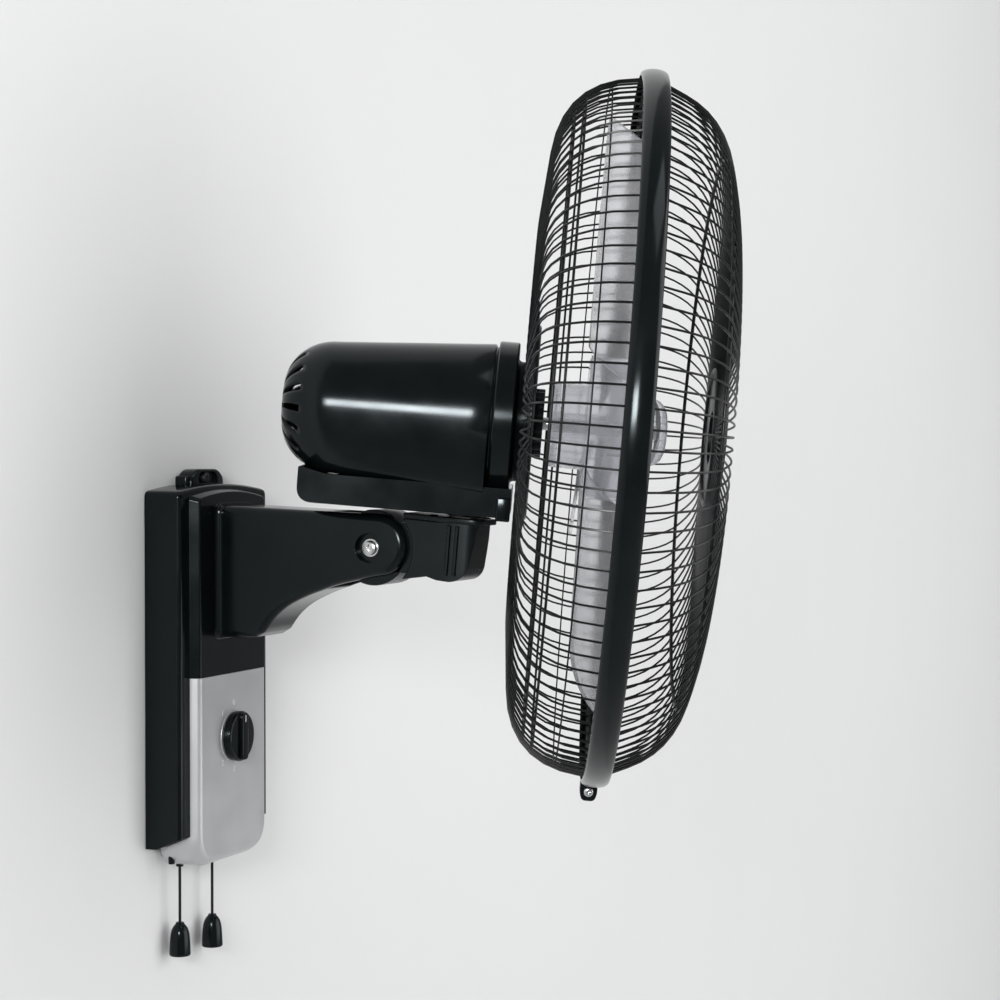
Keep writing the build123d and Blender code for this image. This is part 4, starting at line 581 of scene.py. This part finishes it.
def flared_root():
    """Foot of the arm, spreading in a hollow curve where it meets the cover."""
    half, low, high = 24.6, 18.6, 108.9
    flare_x, flare_z, depth, steps = 2.7, 1.55, 5, 7
    start = eased([(-half, low), (half, low), (half, high), (-half, high)], [5, 5, 6, 6], 5)
    bm = bmesh.new()
    face = bm.faces.new([bm.verts.new((x, COVER_FRONT, z)) for x, z in start])
    middle = (low + high) / 2
    for step in range(1, steps + 1):
        a = radians(90 * step / steps)
        grown = bmesh.ops.extrude_face_region(bm, geom=[face])["geom"]
        if step > 1:
            bmesh.ops.delete(bm, geom=[face], context="FACES_ONLY")
        face = [f for f in grown if isinstance(f, bmesh.types.BMFace)][0]
        wide = ARM_HALF - 0.1 + flare_x * (1 - sin(a))
        tall = 43.6 + flare_z * (1 - sin(a))
        last_wide = max(abs(v.co.x) for v in face.verts)
        last_tall = max(abs(v.co.z - middle) for v in face.verts)
        for vert in face.verts:
            vert.co.y = COVER_FRONT - depth * (1 - cos(a))
            vert.co.x *= wide / last_wide
            vert.co.z = middle + (vert.co.z - middle) * tall / last_tall
    return tidy(bm)


add("arm", joined(arm, flared_root()), gloss_black, "base", "black_plastic", "support_arm", angle=30,
    flat=True)

near_bolt = joined(lathed([(2.6, 0), (6.0, 0), (6.0, 0.4), (5.7, 0.7), (2.6, 0.7)], 32, closed=True),
                   placed(screw_head(4.8, 2.9), shift(0, 0, 0.6)))
add("tilt_bolt_end", placed(near_bolt, shift(-RECESS_FLOOR, 0, 0) @ turn(-90, "Y")), bright_steel,
    "base", "screw_steel", "tilt_nut", place=NECK)
far_head = joined(softened(lathed([(0, 0), (5.2, 0), (5.2, 3.4), (0, 3.4)], 6), 0.4, 2, 40),
                  lathed([(0, -2 * RECESS_FLOOR), (3, -2 * RECESS_FLOOR), (3, 0.1), (0, 0.1)], 32))
add("tilt_bolt_shank", placed(far_head, shift(RECESS_FLOOR, 0, 0) @ turn(90, "Y")), bright_steel,
    "base", "screw_steel", "tilt_bolt", place=NECK)


# ---------------------------------------------------------------- neck

NECK_TOP = 21.4
TONGUE_HALF = 14.6                              # fits the arm's fork
RIB_SPOTS = ((16.4, -53.5), (15.3, -58.5))      # how far out each rib stands, and where along the neck
SCREW_SPOTS = ((-12, -40), (12, -40), (-10, -67), (10, -67))


def post_bore(low, high):
    return placed(extruded(circle(0, 0, 7, 32), "Z", low, high), shift(0, POST_Y, 0))


neck_side = [*arc(0, 0, 29, 133, 218, 14), (-40, -14.2), (-47, -15.8), *arc(-54.5, -3.4, 12.6, -92, -165, 9),
             (-69.5, 13), (-71, NECK_TOP), (-26, NECK_TOP)]
neck_body = softened(extruded(neck_side, "X", -18, 18), 1.6, 4, 35)
nose_plan = eased([(-17.9, 40), (17.9, 40), (17.9, -50), (13, -71), (-13, -71), (-17.9, -50)],
                  [0, 0, 8, 9, 9, 8], 7)
neck_body = carved(neck_body, extruded(nose_plan, "Z", -60, 60), operation="INTERSECT")
neck_body = carved(neck_body, post_bore(-9, 30))
drum = softened(extruded(circle(0, 0, 24.5, 72), "X", -TONGUE_HALF, TONGUE_HALF), 0.8, 3, 60)
drum = carved(drum, extruded(circle(0, 0, 3.05, 32), "X", -20, 20))
tongue = box((-TONGUE_HALF, TONGUE_HALF), (-35, 0), (-14, 18))
ribs = [softened(box(span, (at - 1.2, at + 1.2), (-12, 20)), 0.7, 3)
        for out, at in RIB_SPOTS for span in ((-out - 2.4, 3 - out), (out - 3, out + 2.4))]
add("neck_casting", joined(neck_body, drum, tongue, *ribs), satin_black, "neck", "black_plastic", "neck",
    place=NECK, angle=30, flat=True)
plate_top = eased([(-18.4, -21), (18.4, -21), (18.4, -53), (14.6, -74.5), (-14.6, -74.5), (-18.4, -53)],
                  [1, 1, 8, 9, 9, 8], 7)
top_plate = softened(extruded(plate_top, "Z", NECK_TOP, NECK_TOP + 3.5), 0.7, 3, 50)
add("swing_plate", carved(top_plate, post_bore(20, 30)), satin_black, "neck", "zinc_steel", "neck_plate",
    place=NECK)
plate_screws = [placed(screw_head(2.6, 0.9, 0.6), shift(x, y, NECK_TOP + 3.2)) for x, y in SCREW_SPOTS]
add("plate_screws", joined(*plate_screws), dark_steel, "neck", "screw_steel", "neck_plate_screws", place=NECK)


# ---------------------------------------------------------------- motor

SHELL_STEPS = 96
VENT_INNER, VENT_OUTER = 19.5, 36       # the vents are slots round the shell's domed end
VENT_PITCH, VENT_WIDTH = 6, 2           # in steps round the shell
PARTING = -41.5                         # the gear case's tray meets the shell here, below the axle
SHELL_LIP = 9.6                         # the shell is round again from here forward
SQUARENESS = 0.78                       # how nearly straight the lower flanks stand
dome = [(13 + 28.3 * sin(radians(a)), -90 - 31.8 * cos(radians(a))) for a in range(0, 91, 6)]
shell_line = [(0, -122.4), (7, -122.2), *dome, (42.2, -76), (43.9, -51), (45.7, -24), (47.0, -4),
              (47.9, 9.5), (47.4, 10.6), (46.2, 10.8), (46.2, 13)]
shell = lathed(shell_line, SHELL_STEPS)
slots = []
for face in shell.faces:
    middle = face.calc_center_median()
    column = degrees(atan2(middle.y, middle.x)) % 360 / (360 / SHELL_STEPS)
    if VENT_INNER < hypot(middle.x, middle.y) < VENT_OUTER and int(column) % VENT_PITCH < VENT_WIDTH:
        slots.append(face)
bmesh.ops.delete(shell, geom=slots, context="FACES")
for vert in shell.verts:
    full = hypot(vert.co.x, vert.co.y)
    if vert.co.y < 0 and vert.co.z < SHELL_LIP and full > 1:
        share = abs(vert.co.x) / full
        fuller = 1 - SQUARENESS * min(1, max(0, (vert.co.z + 118) / 30))
        vert.co.x = (full if vert.co.x > 0 else -full) * share ** fuller
motor_shell = add("motor_cover", shell, gloss_black, "head", "black_plastic", "motor_shell", place=AXLE,
                  angle=38)
wall = motor_shell.modifiers.new("wall", "SOLIDIFY")
wall.thickness, wall.offset = 0.0022, -1

CASE_HALF, CASE_FLOOR = 37.8, -60
case_side = eased([(-37.6, -105.9), (CASE_FLOOR, -105.9), (CASE_FLOOR, 27.4), (PARTING, 27.4),
                   (PARTING, -88)], [1.5, 10, 2, 0.6, 4], 8)
case = softened(extruded(case_side, "X", -CASE_HALF, CASE_HALF), 3.5, 5, 50,
                lambda co: abs(co.x) > CASE_HALF - 0.8 and co.y < PARTING - 0.7)
case = carved(case, box((-35.5, 35.5), (CASE_FLOOR + 2.5, PARTING - 1.5), (-103, 25)))
swivel = lathed([(8, -62.7), (12.1, -62.7), (12.5, -62.3), (12.5, -59.6), (8, -59.6)], 48, closed=True)
add("gear_cover", joined(case, placed(swivel, turn(-90, "X"))), gloss_black,
    "head", "black_plastic", "gear_case", place=AXLE, flat=True)
latch = softened(box((-39, -33), (-62, -47), (18.5, 27.5)), 1.2, 3)
add("case_latch", latch, gloss_black, "head", "black_plastic", "gear_case", place=AXLE)

flange_line = [(46, 12.2), (49.2, 12.2), (50, 13), (50, 24), (49, 25), (40, 25), (38.6, 25.8), (38, 27),
               (38, 33), (37.4, 33.7), (17, 33.7), (16.9, 43), (5, 43), (5, 14)]
add("front_collar", lathed(flange_line, 96, closed=True), gloss_black, "head", "black_plastic",
    "front_flange", place=AXLE)


# ---------------------------------------------------------------- guards

WIRE = 0.7                  # radius of a guard wire
RIM = 219.5                 # radius at which the wires meet their rim
WELD = 0.2                  # how far a hoop sinks into the wires
REAR_SEAT, FRONT_SEAT = 35.7, 149.7     # stations of the two hub rings


def against(route, radius, thick, side):
    """Where a hoop lies against the wires at a radius: side 1 is their front, -1 their back."""
    for (start, first), (end, last) in zip(route, route[1:]):
        if end <= radius < start:
            slope = (last - first) / (end - start)
            away = WIRE + thick - WELD
            lean = hypot(1, slope)
            station = first + slope * (radius - start)
            return radius - side * away * slope / lean, station + side * away / lean, thick


def guard(name, route, stays, plate, stands_for, side):
    """Welded guard: radial wires over a rim, stay rings and a hub ring, all round wire."""
    wires = patterned(placed(swept(route, WIRE, 5), turn(180 / WIRES, "Z")), WIRES)
    rings = [hoop(*against(route, radius, thick, side)) for radius, thick in stays]
    low, high, outer = plate
    rings += [hoop(outer + 0.4, route[-1][1], 1.9), hoop(RIM + 1.8, route[0][1], 1.9)]
    add(name, joined(wires, *rings), wire_black, "head", "black_paint", stands_for, place=AXLE, angle=60)
    disc = lathed([(17, low), (outer, low), (outer, high), (17, high)], 72, closed=True)
    add(f"{name}_plate", disc, wire_black, "head", "black_paint", stands_for, place=AXLE)


def arched(points, trims, steps):
    """Wire's side view: straight runs with a wide bend at each inner point."""
    made = [points[0]]
    for before, corner, after, trim in zip(points, points[1:], points[2:], trims):
        here = Vector(corner)
        first = here + (Vector(before) - here).normalized() * trim
        last = here + (Vector(after) - here).normalized() * trim
        made += [tuple(first * (1 - t) ** 2 + here * 2 * t * (1 - t) + last * t ** 2)
                 for t in (step / steps for step in range(steps + 1))]
    return made + [points[-1]]


rear_route = arched([(RIM, 91.4), (215.4, 38.6), (120.5, 30.0), (60, REAR_SEAT)], [45.7, 11.1], 7)
guard("rear_wires", rear_route, [(201, 1.0), (207.5, 0.8), (215.6, 0.5)], (REAR_SEAT - 2, REAR_SEAT, 60),
      "rear_guard", 1)
front_route = arched([(RIM, 96.0), (200.7, 138.0), (136.2, 155.1), (42, FRONT_SEAT)], [26.6, 32.7], 6)
guard("front_wires", front_route, [(175, 1.2)], (FRONT_SEAT, FRONT_SEAT + 2, 42), "front_guard", -1)

nut_line = []
for step in range(60):
    radius = 20.7 if step % 3 == 0 else 22.0        # a groove at every third step
    nut_line.append((radius * cos(radians(step * 6)), radius * sin(radians(step * 6))))
nut = softened(extruded(nut_line, "Z", REAR_SEAT, REAR_SEAT + 7.5), 0.5, 2, 60)
nut = carved(nut, extruded(circle(0, 0, 16.95, 60), "Z", 30, 50))
add("ribbed_nut", nut, satin_black, "head", "black_plastic", "guard_nut", place=AXLE)

BAND_SPLIT = 0.26           # half the gap between the band's ends, in degrees
band_line = [(222.6 + 3.4 * sin(radians(a)), 93.7 + 8.25 * cos(radians(a))) for a in range(0, 181, 15)]
band_line += [(221.5, 85.45), (221.5, 87.2), (223.7, 88.8), (223.7, 98.6), (221.5, 100.2), (221.5, 101.95)]
band = bmesh.new()
band.faces.new([band.verts.new((radius, 0, station)) for radius, station in band_line])
placed(band, turn(BAND_SPLIT - 90, "Z"))
bmesh.ops.spin(band, geom=band.verts[:] + band.edges[:] + band.faces[:], cent=(0, 0, 0), axis=(0, 0, 1),
               angle=radians(360 - 2 * BAND_SPLIT), steps=160, use_merge=False)
add("rim_band", tidy(band), gloss_black, "head", "black_plastic", "clamp_band", place=AXLE, angle=40)
BOLT_Y, BOLT_STATION = -231.6, 91.8
ear_side = eased([(-224.5, 86.2), (-224.5, 97.4), (-233, 97.4), (-237.6, 95.8), (-237.6, 87.8), (-233, 86.2)],
                 [0, 0, 2, 3, 3, 2], 5)
ears = []
for low, high in ((-6, -1), (1, 6)):
    ear = softened(extruded(ear_side, "X", low, high), 0.5, 2, 50)
    ears.append(carved(ear, extruded(circle(BOLT_Y, BOLT_STATION, 1.7, 20), "X", -9, 9)))
add("band_ears", joined(*ears), gloss_black, "head", "black_plastic", "clamp_band", place=AXLE)
bolt = joined(screw_head(3.1, 2.2), stem(15, 1.5, 0.2, 0.2))
add("band_bolt", placed(bolt, shift(-6, BOLT_Y, BOLT_STATION) @ turn(-90, "Y")), bright_steel,
    "head", "screw_steel", "band_screw", place=AXLE)

hub_cap = lathed([(0, 151.8), (40, 151.8), (40, 155.0), (39.4, 156.3), (38, 157.2), (34, 157.6),
                  (32.6, 157.1), (31, 157.1), (0, 157.7)], 96)
add("hub_disc", hub_cap, satin_black, "head", "black_plastic", "badge", place=AXLE)


# ---------------------------------------------------------------- blades

BLADE_DEPTH = 32.5          # along the axle, the same from the hub to the tip
BLADE_STATION = 86.5        # middle of that depth
ROOT_OUT, TIP_OUT, SWEEP_OUT = 43.5, 194, 199.8
CAMBER = 0.07               # height of the blade's hollow over its chord
BLADE_THICK = 2.2


def blade():
    """One twisted, cambered blade with rounded tip corners, drawn standing up from the hub."""
    bm = bmesh.new()
    bmesh.ops.create_grid(bm, x_segments=12, y_segments=18, size=1)
    for vert in bm.verts:
        across, along = vert.co.x, (vert.co.y + 1) / 2
        tip = TIP_OUT - 3.5 * across ** 2 - 14 * abs(across) ** 9
        radius = ROOT_OUT + (tip - ROOT_OUT) * along
        share = (radius - 42) / 153
        chord = 62 + 170 * share - 125 * share ** 2 - 14 * max(0, (share - 0.88) / 0.14) ** 2.5
        pitch = asin(BLADE_DEPTH / chord)
        offset = across * chord / 2
        rise = chord * CAMBER * (1 - across ** 2)
        x = offset * cos(pitch) - rise * sin(pitch)
        z = offset * sin(pitch) + rise * cos(pitch)
        lean = radians(-6 * share ** 1.6)
        vert.co = (x * cos(lean) - radius * sin(lean), x * sin(lean) + radius * cos(lean), BLADE_STATION - z)
    for vert in bm.verts:
        out = hypot(vert.co.x, vert.co.y)
        if out > SWEEP_OUT:
            vert.co.x *= SWEEP_OUT / out
            vert.co.y *= SWEEP_OUT / out
    bmesh.ops.recalc_face_normals(bm, faces=bm.faces)
    bmesh.ops.solidify(bm, geom=bm.faces[:], thickness=BLADE_THICK)
    return tidy(bm)


blades = patterned(placed(blade(), turn(26.5, "Z")), 3)
# outer drum with its face, bore tube, inner cup, and the ring that joins cup and drum
hub = [lathed([(43.6, 70.5), (46, 70.5), (46, 101), (45.2, 104.6), (43.4, 107), (40, 108), (4.1, 108),
               (4.1, 105.6), (40, 105.6), (42.4, 104.6), (43.6, 102)], 72, closed=True),
       lathed([(4.1, 47.6), (8, 47.6), (8, 105.6), (4.1, 105.6)], 32, closed=True),
       lathed([(24.6, 47.6), (27, 47.6), (27.3, 70.6), (25.6, 70.6), (25.2, 55.6), (8, 55.6), (8, 53.2),
               (24.6, 53.2)], 64, closed=True),
       lathed([(25.6, 69.8), (43.8, 69.8), (43.8, 71.4), (25.6, 71.4)], 64, closed=True)]
webs = patterned(placed(box((8, 43.6), (-0.9, 0.9), (84, 105.6)), turn(20, "Z")), 6)
add("blade_set", joined(blades, *hub, webs), smoke_clear, "rotor", "clear_plastic", "fan_blades", place=AXLE,
    angle=40)
cap = lathed([(0, 114), (4, 114), (4, 108.1), (21.4, 108.1), (22, 108.8), (21.6, 112.5), (20.2, 116.2),
              (17.4, 119.2), (13, 121.2), (7, 122), (0, 122)], 64)
grips = patterned(softened(box((20.4, 22.2), (-1.1, 1.1), (108.6, 112.5)), 0.5, 2), 16)
add("hub_nut", joined(cap, grips), smoke_clear, "rotor", "clear_plastic", "spinner", place=AXLE, angle=40)


# ---------------------------------------------------------------- knob

dial_seat = lathed([(0, -1), (17.4, -1), (17.4, 0.2), (17.2, 0.5), (16.6, 0.6), (0, 0.6)], 72)
add("dial_seat", placed(dial_seat, shift(0, COVER_FRONT, KNOB_Z) @ toward_room), silver_paint,
    "base", "silver_plastic")
knob = lathed([(0, 0.2), (16.0, 0.2), (16.6, 0.6), (16.8, 4.2), (16.5, 5.2), (15.8, 5.8), (14.6, 6.0),
               (0, 6.0)], 72)
grip_outline = eased([(-4, -15.8), (4, -15.8), (4, 15.8), (-4, 15.8)], 3.4, 6)
ridge = softened(extruded(grip_outline, "Z", 5.5, 8.4), 0.9, 4, 50, lambda co: co.z > 8)
pointer = softened(box((-0.4, 0.4), (9.5, 14.2), (8.2, 8.55)), 0.1, 2)
shaft = lathed([(0, -18), (3, -18), (3, 0.3), (0, 0.3)], 32)
to_panel = shift(0, COVER_FRONT - 0.8, KNOB_Z) @ toward_room
add("dial_knob", placed(joined(knob, ridge, shaft), to_panel), gloss_black, "knob", "black_plastic",
    "selector_knob")
add("dial_mark", placed(pointer, to_panel), print_white, "knob", "black_plastic")


# ---------------------------------------------------------------- stage and light

PALE = (0.80, 0.80, 0.80)
ROOM, FLOOR_Z, CEILING_Z = 5, -1.6, 3


def backdrop(name, quads, one_sided):
    """Plain matt faces in metres. One-sided ones are clear from behind, so that views from there see in."""
    mesh = bpy.data.meshes.new(name)
    bm = bmesh.new()
    for corners in quads:
        bm.faces.new([bm.verts.new(c) for c in corners])
    bm.to_mesh(mesh)
    bm.free()
    made = bpy.data.materials.new(name)
    made.use_nodes = True
    tree = made.node_tree
    shader = tree.nodes["Principled BSDF"]
    shader.inputs["Roughness"].default_value = 0.9
    shader.inputs["Specular IOR Level"].default_value = 0.1
    patches = texture(tree, "ShaderNodeTexNoise", 3, Detail=2)
    tree.links.new(shades(tree, patches.outputs["Fac"], [c * 0.99 for c in PALE], PALE),
                   shader.inputs["Base Color"])
    if one_sided:
        side = tree.nodes.new("ShaderNodeNewGeometry")
        clear = tree.nodes.new("ShaderNodeBsdfTransparent")
        mix = tree.nodes.new("ShaderNodeMixShader")
        tree.links.new(side.outputs["Backfacing"], mix.inputs["Fac"])
        tree.links.new(shader.outputs["BSDF"], mix.inputs[1])
        tree.links.new(clear.outputs["BSDF"], mix.inputs[2])
        tree.links.new(mix.outputs["Shader"], tree.nodes["Material Output"].inputs["Surface"])
    mesh.materials.append(made)
    stood = bpy.data.objects.new(name, mesh)
    scene.collection.objects.link(stood)


def wall_quad(left, right, low, high):
    return [(x, 0.0006, z) for x, z in ((left, low), (right, low), (right, high), (left, high))]


# the wall is open behind the base, so that the base's back is lit when it is looked at
OPEN_X, OPEN_Z = 0.054, 0.113
wall_quads = [wall_quad(-ROOM, -OPEN_X, FLOOR_Z, CEILING_Z), wall_quad(OPEN_X, ROOM, FLOOR_Z, CEILING_Z),
              wall_quad(-OPEN_X, OPEN_X, FLOOR_Z, -OPEN_Z), wall_quad(-OPEN_X, OPEN_X, OPEN_Z, CEILING_Z)]
floor_corners = ((-ROOM, -ROOM), (ROOM, -ROOM), (ROOM, ROOM), (-ROOM, ROOM))
backdrop("room_wall", wall_quads, True)
backdrop("room_floor", [[(x, y, FLOOR_Z) for x, y in floor_corners]], False)


def softbox(name, spot, aim, wide, tall, power, cone=180):
    light = bpy.data.lights.new(name, "AREA")
    light.spread = radians(cone)
    light.shape, light.size, light.size_y, light.energy = "RECTANGLE", wide, tall, power
    holder = bpy.data.objects.new(name, light)
    holder.location = spot
    holder.visible_transmission = False     # not seen through the clear blades
    holder.rotation_euler = (Vector(aim) - Vector(spot)).to_track_quat("-Z", "Y").to_euler()
    scene.collection.objects.link(holder)


softbox("key", (1.6, -4.5, 1.2), (0.8, 0, 0.2), 4.5, 4.5, 166)
softbox("strip", (-1.52, -0.56, 0.36), (-0.04, -0.24, 0.19), 0.42, 0.24, 2.6, 70)
softbox("overhead", (-0.3, -1.5, 2.4), (0, -0.2, 0), 1.4, 1.0, 8)
world = bpy.data.worlds.new("studio")
scene.world = world
world.use_nodes = True
sky = world.node_tree.nodes["Background"]
sky.inputs["Color"].default_value = (0.92, 0.93, 0.94, 1)
sky.inputs["Strength"].default_value = 0.27
